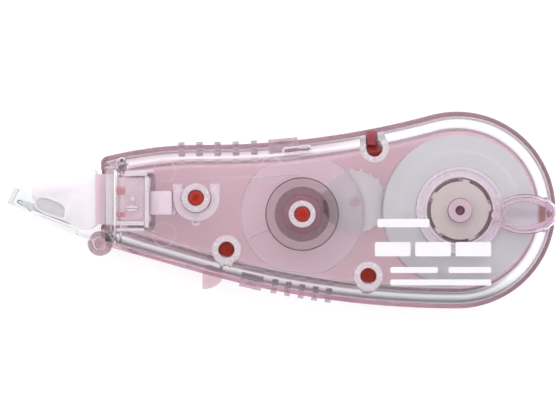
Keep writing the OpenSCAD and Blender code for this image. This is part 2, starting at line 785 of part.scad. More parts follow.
module take_up_hub() {
    color([0.92, 0.92, 0.94, 0.5])
        at(take_up) {
            tube(hub_r[1], hub_r[0], reel_z, reel_top - reel_z);
            tube(hub_r[0] + 0.1, boss_r - 0.15 + play, reel_z, hub_web_t);
            tube(sleeve_r, boss_r - 0.15 + play, reel_z, reel_top - reel_z - 0.3);
        }
}

module take_up_flange() {
    color([0.93, 0.93, 0.95, 0.3])
        at(take_up)
            difference() {
                tube(flange_r, hub_r[1], reel_z, flange_t);
                // slit where the backing is caught
                rotate([0, 0, 205]) translate([hub_r[1] + 0.3, -0.06, reel_z - 1]) cube([3.6, 0.12, 3]);
            }
}

module spent_tape() {
    color([0.8, 0.79, 0.78])
        at(take_up) tube(spent_r, hub_r[1], mid_z - tape_w / 2, tape_w);
}

rear_shell();
front_shell();
head_cage();
feed_tape();
return_tape();
head_nozzle();
head_stem();
applicator_blade();
tip_tape();
tip_cap();
drive_gear();
clutch_spring();
clutch_plate();
supply_core();
supply_flange();
supply_tape();
idler_gear();
take_up_hub();
take_up_pinion();
take_up_flange();
spent_tape();
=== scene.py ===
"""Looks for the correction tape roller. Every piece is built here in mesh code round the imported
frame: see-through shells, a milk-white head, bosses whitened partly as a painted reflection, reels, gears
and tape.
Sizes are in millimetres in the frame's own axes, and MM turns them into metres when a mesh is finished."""
import json
import math

import bmesh
import bpy
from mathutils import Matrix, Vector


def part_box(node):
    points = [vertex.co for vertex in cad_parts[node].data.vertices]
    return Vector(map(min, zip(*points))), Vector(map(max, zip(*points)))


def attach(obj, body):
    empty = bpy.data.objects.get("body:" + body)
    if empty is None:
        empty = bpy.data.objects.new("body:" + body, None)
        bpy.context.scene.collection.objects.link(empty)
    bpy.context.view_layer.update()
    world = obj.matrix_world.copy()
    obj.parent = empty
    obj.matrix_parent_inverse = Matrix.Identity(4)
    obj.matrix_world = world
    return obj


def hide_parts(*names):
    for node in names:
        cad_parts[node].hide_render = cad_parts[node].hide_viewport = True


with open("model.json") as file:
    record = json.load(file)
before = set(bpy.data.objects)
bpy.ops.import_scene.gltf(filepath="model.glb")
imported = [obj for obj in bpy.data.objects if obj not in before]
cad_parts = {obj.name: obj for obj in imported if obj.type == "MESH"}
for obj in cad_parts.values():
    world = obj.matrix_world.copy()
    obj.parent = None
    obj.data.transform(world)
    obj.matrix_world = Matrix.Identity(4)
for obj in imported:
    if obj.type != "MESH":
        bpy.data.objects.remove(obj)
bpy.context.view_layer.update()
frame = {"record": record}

MM = 0.001
JOINTS = {j["name"]: j for j in frame["record"]["behaviour"]["joints"]}


def axis_of(joint):
    """Where a joint's axis stands, in mm."""
    return tuple(v / MM for v in JOINTS[joint]["pos_m"][:2])


def top_of(node):
    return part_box(node)[1][2] / MM


def foot_of(node):
    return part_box(node)[0][2] / MM


SUPPLY, TAKE_UP, IDLER = axis_of("spool_spin"), axis_of("take_up_spin"), axis_of("idler_spin")
HEAD, CAP = axis_of("head_tilt"), axis_of("cap_hinge")

# Case, as in part.scad
CASE_T = top_of("front_shell")
WALL = 1.2
END_R, END_X = 16.75, 30.1
MOUTH_X = -30.45
TOP_Y = 11.1
FRONT_INSET = 0.9
FRONT_ROUND = (2.5, 3.2)
REAR_ROUND = 2.2
MID_Z = CASE_T / 2
INNER_TOP = CASE_T - WALL
CROWN_R, CROWN_X = 66.0, -13.5
WAIST_R, BELLY_R, CORNER_R = 148.0, 160.0, 1.2
WAIST_X = END_X - math.sqrt((WAIST_R + END_R) ** 2 - (TOP_Y + WAIST_R) ** 2)
WAIST_A = math.degrees(math.asin((END_X - WAIST_X) / (WAIST_R + END_R)))
BELLY_A = math.degrees(math.asin((END_X - CROWN_X) / BELLY_R))
PINS = [(-9.05, -6.7), (15.95, 10.35), (14.9, -11.15)]
PIN_R, PIN_BORE, BOSS_R = 1.3, 1.36, 2.45
GAP = 0.03            # hair's breadth that keeps clear faces from lying on one another
BASE_Z, UNDER_Z = WALL + GAP, INNER_TOP - GAP

# Reels and gears
MODULE, TEETH, BACKLASH = 0.5, (50, 21, 16), 0.12
REEL_TOP = top_of("supply_core")
REEL_Z = foot_of("supply_flange")
GEAR_Z = foot_of("idler_gear")
GEAR_TOP = GEAR_Z + 1.4
PACK_R, CORE_R, CLUTCH_R, SLEEVE_R, POST_R, POST_BORE = 12.95, 7.4, 5.55, 3.1, 2.0, 2.06
HUB_R = (4.6, 6.05)
DISC_R, SLIT_A = 10.65, 205
FLANGE_T, HUB_WEB_T = 0.48, 0.8
TAPE_W, TAPE_T = 5.0, 0.12
TAPE_Z = (MID_Z - TAPE_W / 2, MID_Z + TAPE_W / 2)

# Head and cap
BLOCK_X, BLOCK_Y, BLOCK_W = (MOUTH_X - 0.6, MOUTH_X + 2.85), (-2.45, 6.1), 8.0
MOUTH_Z = (MID_Z - BLOCK_W / 2 - 0.3, MID_Z + BLOCK_W / 2 + 0.3)
BLADE_A = 158.9
TIP = (-44.5, 1.45)
CAP_LEN, CAP_W, CAP_WALL, CAP_OPEN = 17.9, 9.2, 1.0, 179
LUG_R, STUB_R, LUG_H = 1.9, 0.95, CAP_W / 2 - CAP_WALL - 0.2     # LUG_H is half the lug's height


# ---- plane geometry ----

def polar(r, a, centre=(0.0, 0.0)):
    a = math.radians(a)
    return (centre[0] + r * math.cos(a), centre[1] + r * math.sin(a))


def arc(centre, r, start, end, steps):
    return [polar(r, start + (end - start) * i / steps, centre) for i in range(steps + 1)]


def outline(inset):
    """The case's edge moved in by inset, clockwise from the end of the hollow curve."""
    corner = max(CORNER_R - inset, 0.15)
    cx = MOUTH_X + inset + corner
    crown = (CROWN_X, TOP_Y - CROWN_R)
    cy = crown[1] + math.sqrt((CROWN_R - inset - corner) ** 2 - (cx - crown[0]) ** 2)
    ca = math.degrees(math.atan2(cy - crown[1], cx - crown[0]))
    belly = (END_X, BELLY_R - END_R)
    end = polar(BELLY_R - inset, -90 - BELLY_A, belly)
    foot = (MOUTH_X + inset, end[1] + (end[0] - MOUTH_X - inset) * math.tan(math.radians(BELLY_A)))
    return (arc((END_X, 0), END_R - inset, 90 + WAIST_A, -90, 80)
            + arc(belly, BELLY_R - inset, -90.6, -90 - BELLY_A, 26)
            + [((end[0] * 2 + foot[0]) / 3, (end[1] * 2 + foot[1]) / 3),
               ((end[0] + foot[0] * 2) / 3, (end[1] + foot[1] * 2) / 3), foot]
            + arc((cx, cy), corner, 180, ca, 8)
            + arc(crown, CROWN_R - inset, ca - 0.6, 90, 18)
            + arc((WAIST_X, TOP_Y + WAIST_R), WAIST_R + inset, 270.6, 270 + WAIST_A - 0.5, 28))


def upper_y(x):
    if x < CROWN_X:
        return TOP_Y - CROWN_R + math.sqrt(CROWN_R ** 2 - (x - CROWN_X) ** 2)
    if x < WAIST_X:
        return TOP_Y
    return TOP_Y + WAIST_R - math.sqrt(WAIST_R ** 2 - (x - WAIST_X) ** 2)


def lower_y(x):
    return BELLY_R - END_R - math.sqrt(BELLY_R ** 2 - (x - END_X) ** 2)


def box_points(x, y, turn=0.0, centre=(0.0, 0.0)):
    pts = [(x[0], y[0]), (x[1], y[0]), (x[1], y[1]), (x[0], y[1])]
    return turned(pts, turn, centre)


def turned(points, angle, centre=(0.0, 0.0)):
    c, s = math.cos(math.radians(angle)), math.sin(math.radians(angle))
    return [(centre[0] + c * x - s * y, centre[1] + s * x + c * y) for x, y in points]


def quarter(z, up, inset, size, steps=12):
    """Levels of a rounded edge, from the flat face to the side wall, as (z, inset)."""
    out = []
    for i in range(steps + 1):
        a = math.radians(90 * i / steps)
        out.append((z + up * size[1] * (1 - math.cos(a)), inset + size[0] * (1 - math.sin(a))))
    return out


def soften(profile, r, steps=3):
    """A closed profile with its corners rounded."""
    out = []
    n = len(profile)
    for i, p in enumerate(profile):
        a, b = profile[i - 1], profile[(i + 1) % n]
        ua, ub = (a[0] - p[0], a[1] - p[1]), (b[0] - p[0], b[1] - p[1])
        la, lb = math.hypot(*ua), math.hypot(*ub)
        cut = min(r, la * 0.45, lb * 0.45)
        start = (p[0] + ua[0] / la * cut, p[1] + ua[1] / la * cut)
        end = (p[0] + ub[0] / lb * cut, p[1] + ub[1] / lb * cut)
        for k in range(steps + 1):
            t = k / steps
            out.append(tuple((1 - t) ** 2 * start[j] + 2 * t * (1 - t) * p[j] + t * t * end[j]
                             for j in (0, 1)))
    return out


# ---- meshes ----

SMOOTH_A, GEAR_SMOOTH_A = 38, 30      # edges turn smoothly up to this many degrees


def smooth(mesh, angle):
    for face in mesh.polygons:
        face.use_smooth = True
    mesh.set_sharp_from_angle(angle=math.radians(angle))


def to_object(name, bm, angle):
    bmesh.ops.remove_doubles(bm, verts=bm.verts, dist=1e-5)
    bmesh.ops.recalc_face_normals(bm, faces=bm.faces)
    for v in bm.verts:
        v.co *= MM
    mesh = bpy.data.meshes.new(name)
    bm.to_mesh(mesh)
    bm.free()
    smooth(mesh, angle)
    obj = bpy.data.objects.new(name, mesh)
    bpy.context.scene.collection.objects.link(obj)
    return obj


def add_skin(bm, rings, closed=False):
    """Quads between rings of points, with the first and last ring filled unless closed."""
    rows = [[bm.verts.new(p) for p in ring] for ring in rings]
    n = len(rows[0])
    pairs = list(zip(rows, rows[1:])) + ([(rows[-1], rows[0])] if closed else [])
    for low, high in pairs:
        for j in range(n):
            bm.faces.new((low[j], low[(j + 1) % n], high[(j + 1) % n], high[j]))
    if not closed:
        bm.faces.new(rows[0])
        bm.faces.new(rows[-1])


def at_z(points, z):
    return [(x, y, z) for x, y in points]


def circle(r, z, centre, steps):
    return [(*polar(r, 360 * k / steps, centre), z) for k in range(steps)]


def add_loft(bm, levels):
    """The case's outline stacked up, moved in at each level."""
    add_skin(bm, [at_z(outline(inset), z) for z, inset in levels])


def add_prism(bm, points, z0, z1, bevel=0.12, steps=2):
    """A plane shape pushed from z0 to z1, its edges rounded by bevel."""
    part = bmesh.new()
    add_skin(part, [at_z(points, z0), at_z(points, z1)])
    bmesh.ops.recalc_face_normals(part, faces=part.faces)
    if bevel:
        edges = [e for e in part.edges if e.calc_face_angle(0) > math.radians(28)]
        bmesh.ops.bevel(part, geom=edges, offset=bevel, segments=steps, profile=0.5,
                        affect="EDGES", clamp_overlap=True)
    join(bm, part)


def join(bm, part):
    scratch = bpy.data.meshes.new("scratch")
    part.to_mesh(scratch)
    part.free()
    bm.from_mesh(scratch)
    bpy.data.meshes.remove(scratch)


def add_box(bm, x, y, z, bevel=0.12, turn=0.0, centre=(0.0, 0.0)):
    add_prism(bm, box_points(x, y, turn, centre), z[0], z[1], bevel)


def add_lathe(bm, profile, centre, steps=96, soft=0.12):
    """A closed (r, z) profile turned round a vertical axis; points at r = 0 make it solid."""
    add_skin(bm, [circle(max(r, 0.0), z, centre, steps) for r, z in soften(profile, soft)], closed=True)


def add_tube(bm, r, bore, z0, z1, centre, soft=0.1, steps=96):
    add_lathe(bm, [(bore, z0), (r, z0), (r, z1), (bore, z1)], centre, steps, soft)


def add_rod(bm, r, z0, z1, centre, dome=0.15, steps=64):
    """A solid round pin with rounded ends, as rings from its foot to its top."""
    low = ((r - dome, z0), (r - dome * 0.3, z0 + dome * 0.3), (r, z0 + dome))
    high = ((r, z1 - dome), (r - dome * 0.3, z1 - dome * 0.3), (r - dome, z1))
    add_skin(bm, [circle(rr, z, centre, steps) for rr, z in low + high])


def add_ribbon(bm, path):
    """Tape standing on edge along a path."""
    left, right = [], []
    for i, p in enumerate(path):
        a, b = path[max(i - 1, 0)], path[min(i + 1, len(path) - 1)]
        d = (b[0] - a[0], b[1] - a[1])
        length = math.hypot(*d)
        side = (-d[1] / length * TAPE_T / 2, d[0] / length * TAPE_T / 2)
        left.append((p[0] + side[0], p[1] + side[1]))
        right.append((p[0] - side[0], p[1] - side[1]))
    add_prism(bm, left + right[::-1], *TAPE_Z, bevel=0)


def built(name, fill, angle=SMOOTH_A):
    """An object made from the mesh that fill(bm) draws."""
    bm = bmesh.new()
    fill(bm)
    return to_object(name, bm, angle)


def bake(obj, mod, angle):
    """Keeps what mod makes of obj as plain mesh."""
    deps = bpy.context.evaluated_depsgraph_get()
    mesh = bpy.data.meshes.new_from_object(obj.evaluated_get(deps))
    obj.modifiers.remove(mod)
    old = obj.data
    obj.data = mesh
    bpy.data.meshes.remove(old)
    smooth(mesh, angle)
    mesh.name = obj.name


def carve(obj, fill, operation="DIFFERENCE"):
    """Takes the mesh that fill(bm) draws away from obj, or joins or crosses the two."""
    tool = built("tool", fill)
    mod = obj.modifiers.new("carve", "BOOLEAN")
    mod.operation = operation
    mod.solver = "EXACT"
    mod.use_self = True
    mod.object = tool
    bake(obj, mod, SMOOTH_A)
    bpy.data.objects.remove(tool)


def rounded(obj, width, segments=3):
    """Bevels the sharp edges of obj for good."""
    mod = obj.modifiers.new("round", "BEVEL")
    mod.width = width * MM
    mod.segments = segments
    mod.limit_method = "ANGLE"
    mod.angle_limit = math.radians(30)
    bake(obj, mod, 50)


# ---- materials ----

def feed(tree, node, inputs):
    """Sets a node's inputs, each to a number, a colour or the socket that it is linked to."""
    for name, value in inputs.items():
        socket = node.inputs[name]
        if isinstance(value, bpy.types.NodeSocket):
            tree.links.new(value, socket)
        else:
            socket.default_value = (*value, 1) if socket.type == "RGBA" else value


def add_node(tree, kind, inputs, **settings):
    node = tree.nodes.new("ShaderNode" + kind)
    for name, value in settings.items():
        setattr(node, name, value)
    feed(tree, node, inputs)
    return node


def new_material(name):
    mat = bpy.data.materials.new(name)
    mat.use_nodes = True
    return mat, mat.node_tree, mat.node_tree.nodes["Principled BSDF"]


def object_coord(tree):
    return add_node(tree, "TexCoord", {}).outputs["Object"]


def noise(tree, coord, scale, detail=2.0, stretch=(1, 1, 1)):
    mapping = add_node(tree, "Mapping", {"Scale": stretch, "Vector": coord})
    inputs = {"Scale": scale, "Detail": detail, "Vector": mapping.outputs["Vector"]}
    return add_node(tree, "TexNoise", inputs).outputs["Fac"]


def ranged(tree, value, low, high, first, last, how="SMOOTHSTEP"):
    """value from low..high mapped to first..last."""
    inputs = {"Value": value, "From Min": low, "From Max": high, "To Min": first, "To Max": last}
    return add_node(tree, "MapRange", inputs, interpolation_type=how).outputs["Result"]


def span(tree, fac, low, high):
    """Noise spread over low..high."""
    return ranged(tree, fac, 0.3, 0.7, low, high, "LINEAR")


def blend(tree, factor, first, second, how="MIX"):
    inputs = {"Factor": factor, "A": first, "B": second}
    return add_node(tree, "Mix", inputs, data_type="RGBA", blend_type=how).outputs["Result"]


def ramp(tree, value, stops):
    """Colours along value, as (place, colour) from the lowest up."""
    node = add_node(tree, "ValToRGB", {0: value})
    elements = node.color_ramp.elements
    elements.remove(elements[1])
    elements[0].position = stops[0][0]
    elements[0].color = (*stops[0][1], 1)
    for place_at, colour in stops[1:]:
        elements.new(place_at).color = (*colour, 1)
    return node.outputs["Color"]


def bumps(tree, height, strength, depth):
    inputs = {"Strength": strength, "Distance": depth * MM, "Height": height}
    return add_node(tree, "Bump", inputs).outputs["Normal"]


def flatness(tree):
    """1 on faces that lie flat, 0 on upright ones."""
    normal = add_node(tree, "NewGeometry", {}).outputs["True Normal"]
    split = add_node(tree, "SeparateXYZ", {0: normal})
    return add_node(tree, "Math", {0: split.outputs["Z"]}, operation="ABSOLUTE").outputs[0]


def steepness(tree):
    """0 on faces that lie flat, 1 on those more than about 55 degrees from it."""
    return ranged(tree, flatness(tree), 0.995, 0.55, 0, 1)


# Painted reflection and shade on the front shell's rounded edge: over the head, then over the reel
# Painted light: the first colours are the lit upper side, the second the shaded lower side, and the streak
# ramp paints highlight bands by slope
RIM_LIT = ((0.57, 0.40, 0.47), (0.90, 0.90, 0.93))     # upper side
RIM_DIM = ((0.16, 0.08, 0.12), (0.11, 0.10, 0.135))    # lower side
RIM_ALONG = (2 * MM, 20 * MM)                          # where the head's tint turns into the reel's
RIM_UP, RIM_ACROSS = (0.25, 1, 0), (-6.5 * MM, -0.5 * MM)
RIM_WALL = 0.35                                        # share of the tint on the upright wall
RIM_PAINTED_STREAKS = ((0, (0.85, 0.85, 0.87)), (0.35, (1, 1, 1.02)), (0.62, (0.78, 0.78, 0.78 * 1.02)),
               (0.82, (0.66, 0.66, 0.66 * 1.02)), (0.94, (1, 1, 1.02)), (1, (1, 1, 1)))


def rim_painted_reflection_and_shade(tree, coord, body):
    """Colour of the front shell with painted reflection and shade: its rounded edge is painted mauve over
    the head and silver over the reel as reflection, with painted highlight streaks by slope, and painted
    darker on the lower side as shade. Its flat face stays clear and its upright wall is paler. It is
    painted on by place and slope, and stands in for what real plastic does by refraction."""
    x = add_node(tree, "SeparateXYZ", {0: coord}).outputs["X"]
    up = add_node(tree, "VectorMath", {0: coord, 1: RIM_UP}, operation="DOT_PRODUCT").outputs["Value"]
    along = ranged(tree, x, *RIM_ALONG, 0, 1)
    lit = blend(tree, along, *RIM_LIT)
    dim = blend(tree, along, *RIM_DIM)
    edge = blend(tree, ranged(tree, up, *RIM_ACROSS, 0, 1), dim, lit)
    # Painted highlight streaks: brighter and darker bands by slope
    painted_streaks = blend(tree, 1, edge, ramp(tree, flatness(tree), RIM_PAINTED_STREAKS), "MULTIPLY")
    on_wall = ranged(tree, flatness(tree), 0.05, 0.3, RIM_WALL, 1)
    share = add_node(tree, "Math", {0: steepness(tree), 1: on_wall}, operation="MULTIPLY").outputs[0]
    return blend(tree, share, body, painted_streaks)


def let_light_in(tree, shader, colour):
    """Light on its way to what lies behind passes straight through, dimmed by the plastic."""
    through = add_node(tree, "BsdfTransparent", {"Color": tuple(0.97 * c ** 0.5 for c in colour)})
    shadow = add_node(tree, "LightPath", {}).outputs["Is Shadow Ray"]
    mix = add_node(tree, "MixShader", {0: shadow, 1: shader.outputs["BSDF"], 2: through.outputs["BSDF"]})
    feed(tree, tree.nodes["Material Output"], {"Surface": mix.outputs["Shader"]})


def plastic(name, first, second, rough=(0.03, 0.07), clear=0.0, absorb=None, ripple=0.02, grain=160,
            milk=0.0, coat=0.0, edge=None):
    """Moulded plastic. clear is the transmission weight, absorb (colour, density per metre) the
    tint of its thickness, milk the subsurface weight, ripple the height of its flow marks, edge
    the darker colour painted on its upright faces as shade, or 'rim' for the front shell's painted
    reflection and shade."""
    mat, tree, shader = new_material(name)
    coord = object_coord(tree)
    flow = noise(tree, coord, grain, 2.0, (0.35, 1, 1))
    fine = noise(tree, coord, grain * 9, 3.0)
    colour = blend(tree, flow, first, second)
    # Painted reflection and shade on the front shell's rounded edge
    if edge == "rim":
        colour = rim_painted_reflection_and_shade(tree, coord, colour)
    # Painted shade: upright faces turn to the darker edge colour
    elif edge:
        colour = blend(tree, steepness(tree), colour, edge)
    feed(tree, shader, {"Base Color": colour, "Roughness": span(tree, fine, *rough), "IOR": 1.46,
                        "Normal": bumps(tree, flow, 0.35, ripple), "Transmission Weight": clear,
                        "Coat Weight": coat})
    if milk:
        feed(tree, shader, {"Subsurface Weight": milk, "Subsurface Radius": (1.0, 0.9, 0.95),
                            "Subsurface Scale": 1.2 * MM})
    if clear >= 0.5:
        let_light_in(tree, shader, second)
    if absorb:
        volume = add_node(tree, "VolumeAbsorption", {"Color": absorb[0], "Density": absorb[1]})
        feed(tree, tree.nodes["Material Output"], {"Volume": volume.outputs["Volume"]})
    return mat


def wound(name, first, second, centre, pitch):
    """The side of a wound pack: fine rings round its centre and a faint cloud of dust."""
    mat, tree, shader = new_material(name)
    coord = object_coord(tree)
    middle = (centre[0] * MM, centre[1] * MM, 0)
    offset = add_node(tree, "VectorMath", {0: coord, 1: middle}, operation="SUBTRACT")
    flat = add_node(tree, "VectorMath", {0: offset.outputs[0], 1: (1, 1, 0)}, operation="MULTIPLY")
    radius = add_node(tree, "VectorMath", {0: flat.outputs[0]}, operation="LENGTH").outputs["Value"]
    inputs = {"Scale": 1 / (pitch * MM), "Detail": 3, "W": radius}
    ring = add_node(tree, "TexNoise", inputs, noise_dimensions="1D").outputs["Fac"]
    feed(tree, shader, {"Base Color": blend(tree, ring, first, second),
                        "Roughness": span(tree, noise(tree, coord, 900), 0.45, 0.6),
                        "Normal": bumps(tree, ring, 0.3, 0.03)})
    return mat


# The pink shell's edge colour is painted shade on its upright faces
pink = plastic("pink_clear", (0.82, 0.65, 0.70), (0.78, 0.61, 0.665), clear=0.85,
               absorb=((0.75, 0.45, 0.62), 25), edge=(0.70, 0.52, 0.59))
pin_red = plastic("pin_red", (0.56, 0.024, 0.008), (0.47, 0.018, 0.006), (0.15, 0.25), ripple=0.01,
                  grain=400)
latch_red = plastic("latch_red", (0.34, 0.06, 0.09), (0.28, 0.04, 0.065), (0.15, 0.25), ripple=0.01)
stop_salmon = plastic("stop_salmon", (0.58, 0.26, 0.25), (0.52, 0.22, 0.22), (0.3, 0.4))
film_pink = plastic("film_pink", (1.0, 0.83, 0.91), (0.96, 0.79, 0.87), (0.15, 0.3), clear=0.3)
notch_rose = plastic("notch_rose", (0.82, 0.42, 0.47), (0.76, 0.37, 0.42), (0.15, 0.3), clear=0.5)
post_pink = plastic("post_pink", (0.86, 0.66, 0.75), (0.80, 0.60, 0.70), (0.12, 0.2), clear=0.25,
                    milk=0.2)
# The front shell's rounded edge takes painted reflection and shade
clear = plastic("front_clear", (1.0, 0.99, 0.995), (0.985, 0.975, 0.985), clear=1, edge="rim")
# The trim's and the cap's edge colours are painted shade on their upright faces
trim_clear = plastic("trim_clear", (1.0, 0.99, 0.995), (0.985, 0.98, 0.985), clear=1,
                     edge=(0.66, 0.65, 0.67))
cap_clear = plastic("cap_clear", (0.94, 0.945, 0.95), (0.92, 0.93, 0.935), clear=1,
                    absorb=((0.90, 0.92, 0.93), 20), edge=(0.62, 0.63, 0.64))
# Whitish milky plastic for the front shell's clear bosses, guard and loop: its white is partly a painted
# reflection of light caught inside clear plastic
milky_and_painted_reflection = plastic("boss_milky_and_painted_reflection", (0.95, 0.86, 0.90), (0.91, 0.81, 0.86), (0.2, 0.3), clear=0.25,
                milk=0.2)
rib_milky = plastic("rib_milky", (0.92, 0.80, 0.88), (0.88, 0.76, 0.84), (0.1, 0.2), clear=0.8)
cage_mat = plastic("cage_clear", (1.0, 0.90, 0.96), (0.97, 0.87, 0.93), (0.08, 0.16), clear=0.1)
nozzle_white = plastic("nozzle_white", (0.87, 0.82, 0.87), (0.83, 0.77, 0.83), (0.22, 0.34),
                       milk=0.5, coat=0.25, ripple=0.04, grain=90)
band_pink = plastic("block_band", (0.84, 0.63, 0.73), (0.78, 0.58, 0.68), (0.15, 0.25), clear=0.1)
stem_white = plastic("stem_milky", (0.92, 0.78, 0.86), (0.87, 0.73, 0.82), (0.22, 0.34),
                     milk=0.4, coat=0.2)
blade_white = plastic("blade_white", (0.97, 0.97, 0.98), (0.93, 0.93, 0.95), (0.12, 0.22),
                      clear=0.2, milk=0.1)
tape_face = plastic("tape_white", (0.93, 0.92, 0.93), (0.88, 0.87, 0.89), (0.5, 0.65), ripple=0.008,
                    grain=700)
backing = plastic("backing_waxy", (0.85, 0.82, 0.83), (0.78, 0.75, 0.77), (0.3, 0.45), clear=0.5,
                  ripple=0.006, grain=500)
gear_clear = plastic("gear_clear", (0.97, 0.93, 0.95), (0.94, 0.90, 0.92), (0.1, 0.2), clear=0.9)
idler_white = plastic("idler_white", (1.0, 0.97, 1.0), (0.97, 0.94, 0.97), (0.25, 0.4))
plate_beige = plastic("plate_beige", (0.60, 0.53, 0.53), (0.555, 0.49, 0.49), (0.35, 0.5))
spring_grey = plastic("spring_grey", (0.34, 0.25, 0.25), (0.28, 0.20, 0.20), (0.3, 0.45))
core_milky = plastic("core_milky", (0.90, 0.79, 0.88), (0.85, 0.74, 0.83), (0.2, 0.3), clear=0.1,
                     milk=0.2)
flange_clear = plastic("flange_clear", (0.97, 0.96, 0.98), (0.93, 0.92, 0.95), clear=0.8)
disc_clear = plastic("disc_clear", (1.0, 0.97, 1.0), (0.97, 0.94, 0.97), clear=0.86)
edge_milky = plastic("edge_milky", (0.95, 0.88, 0.93), (0.92, 0.84, 0.90), (0.1, 0.2), clear=0.3)
hub_grey = plastic("hub_grey", (0.74, 0.64, 0.67), (0.70, 0.60, 0.63), (0.1, 0.2), clear=0.8)
sleeve_mauve = plastic("sleeve_mauve", (0.50, 0.26, 0.34), (0.44, 0.22, 0.30), (0.15, 0.25), clear=0.2)
pack_side = wound("tape_pack", (0.78, 0.765, 0.805), (0.68, 0.665, 0.70), SUPPLY, 0.11)
spent_side = wound("backing_pack", (0.30, 0.27, 0.27), (0.20, 0.18, 0.18), TAKE_UP, 0.08)
ink = plastic("print_white", (0.97, 0.96, 0.98), (0.93, 0.92, 0.95), (0.4, 0.55), ripple=0.004,
              grain=900)


def place(obj, material, body, slot, *nodes):
    """Gives a piece its material and its body, and hides the CAD nodes it stands for. slot is not used."""
    obj.data.materials.clear()
    obj.data.materials.append(material)
    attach(obj, body)
    if nodes:
        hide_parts(*nodes)


def make(name, fill, material, body, slot, *nodes):
    place(built(name, fill), material, body, slot, *nodes)


# ---- case ----

RIM = 0.14            # rounding of the shells' thin rims
LIP = (1.35, 0.8)     # locating lip: its inset and its depth below the parting line


def rear_levels():
    inner = REAR_ROUND - WALL
    return (quarter(0, 1, 0, (REAR_ROUND, REAR_ROUND))
            + [(MID_Z - RIM, 0), (MID_Z - RIM * 0.3, RIM * 0.3), (MID_Z, RIM),
               (MID_Z, WALL - RIM), (MID_Z - RIM * 0.3, WALL - RIM * 0.3), (MID_Z - RIM, WALL)]
            + quarter(WALL, 1, WALL, (inner, inner))[::-1])


def front_levels():
    side = FRONT_INSET + WALL
    inner = (FRONT_ROUND[0] - 0.4, FRONT_ROUND[1] - 0.4)
    lip_in, lip_z = LIP[0], MID_Z - LIP[1]
    return (quarter(CASE_T, -1, FRONT_INSET, FRONT_ROUND, 16)
            + [(MID_Z + RIM + 0.02, FRONT_INSET), (MID_Z + 0.02, FRONT_INSET + RIM),
               (MID_Z + 0.02, lip_in), (lip_z + RIM, lip_in), (lip_z, lip_in + RIM),
               (lip_z, side - RIM), (lip_z + RIM, side)]
            + quarter(INNER_TOP, -1, side, inner, 16)[::-1])


def mouth_cut(bm):
    add_box(bm, (MOUTH_X - 1, MOUTH_X + 2.4), (BLOCK_Y[0] - 0.2, BLOCK_Y[1] + 0.75),
            MOUTH_Z, 0)


def relief_z():
    """Heights of the two pockets beside the hinge lug."""
    return ((-1, MID_Z - LUG_H), (MID_Z + LUG_H, CASE_T + 1))


def disc_relief(bm):
    for z in relief_z():
        add_rod(bm, 2.4, *z, CAP, 0.01)


def arm_relief(bm):
    for z in relief_z():
        add_box(bm, (0, 7), (-4, 0.65), z, 0, BLADE_A + CAP_OPEN, CAP)


LATCH_X, LATCH_W = PINS[1][0] - 0.5, 1.7
LEAF_AT, LEAF_BOW, LEAF_H, LEAF_RIM, LEAF_ENDS = (41.3, -0.7), 8.0, 3.4, 1.4, (37.2, 46.4)


def leaf(inset, steps=28):
    """Outline of the gauge window, two arcs with their points cut off, moved in by inset."""
    bow, half_h = LEAF_BOW - inset, LEAF_H - inset
    x, y = LEAF_AT
    left, right = LEAF_ENDS[0] + inset / 3 - x, LEAF_ENDS[1] - inset / 6 - x
    reach = math.sqrt(bow ** 2 - (bow - half_h) ** 2) - 0.02
    left, right = max(left, -reach), min(right, reach)
    low_a = [270 + math.degrees(math.asin(d / bow)) for d in (left, right)]
    high_a = [90 - math.degrees(math.asin(d / bow)) for d in (right, left)]
    return (arc((x, y + bow - half_h), bow, *low_a, steps)
            + arc((x, y - bow + half_h), bow, *high_a, steps))


def latch_slot(bm):
    x, y = (LATCH_X - LATCH_W / 2 - 0.15, LATCH_X + LATCH_W / 2 + 0.15), PINS[1][1]
    add_box(bm, x, (y, y + 6), (MID_Z - 1, CASE_T + 1), 0)


def leaf_hole(bm):
    add_prism(bm, leaf(LEAF_RIM / 2), REEL_TOP + 0.4, CASE_T + 1, 0)


def lintel(bm):
    """Square edge over the mouth."""
    foot = MOUTH_Z[1]
    x = MOUTH_X + FRONT_INSET
    side = [(x, foot), (x, CASE_T - 0.25), (x + 0.25, CASE_T), (x + 4, CASE_T), (x + 4, INNER_TOP),
            (x + WALL, INNER_TOP), (x + WALL, foot)]
    add_skin(bm, [[(a, y, z) for a, z in side] for y in (BLOCK_Y[0] - 1.2, BLOCK_Y[1] + 1.8)])


rear_case = built("rear_case", lambda bm: add_loft(bm, rear_levels()))
front_case = built("front_case", lambda bm: add_loft(bm, front_levels()))
for shell in (rear_case, front_case):
    carve(shell, mouth_cut)
    carve(shell, disc_relief)
    carve(shell, arm_relief)
carve(front_case, latch_slot)
carve(front_case, leaf_hole)
carve(front_case, lintel, "UNION")
place(rear_case, pink, "case", "pink_clear", "rear_shell")
place(front_case, clear, "case", "clear", "front_shell")

FIN = [(-13.2, -10.4), (-13.2, -13.4)] + arc((-12.9, -9.6), 3.85, 270, 318, 8) + [(-9.6, -11.2)]


def rear_trim(bm):
    """Fin, and the rear half of the hinge lug with its stub axle."""
    add_prism(bm, soften(FIN, 0.35), MID_Z - 4, MID_Z - 0.05, 0.2)
    add_rod(bm, LUG_R, MID_Z - LUG_H, MID_Z - GAP, CAP, 0.15)
    add_rod(bm, STUB_R, MID_Z - CAP_W / 2, MID_Z - LUG_H + 0.05, CAP, 0.12)


def case_pins(bm):
    for p in PINS:
        add_rod(bm, PIN_R, BASE_Z, INNER_TOP - 2, p, 0.18)
    for p in (HEAD, TAKE_UP):
        add_rod(bm, PIN_R, BASE_Z, INNER_TOP - 0.4, p, 0.18)


SOCKET_R, SOCKET_Z = 0.8, WALL + 3        # the bore in the supply post's top


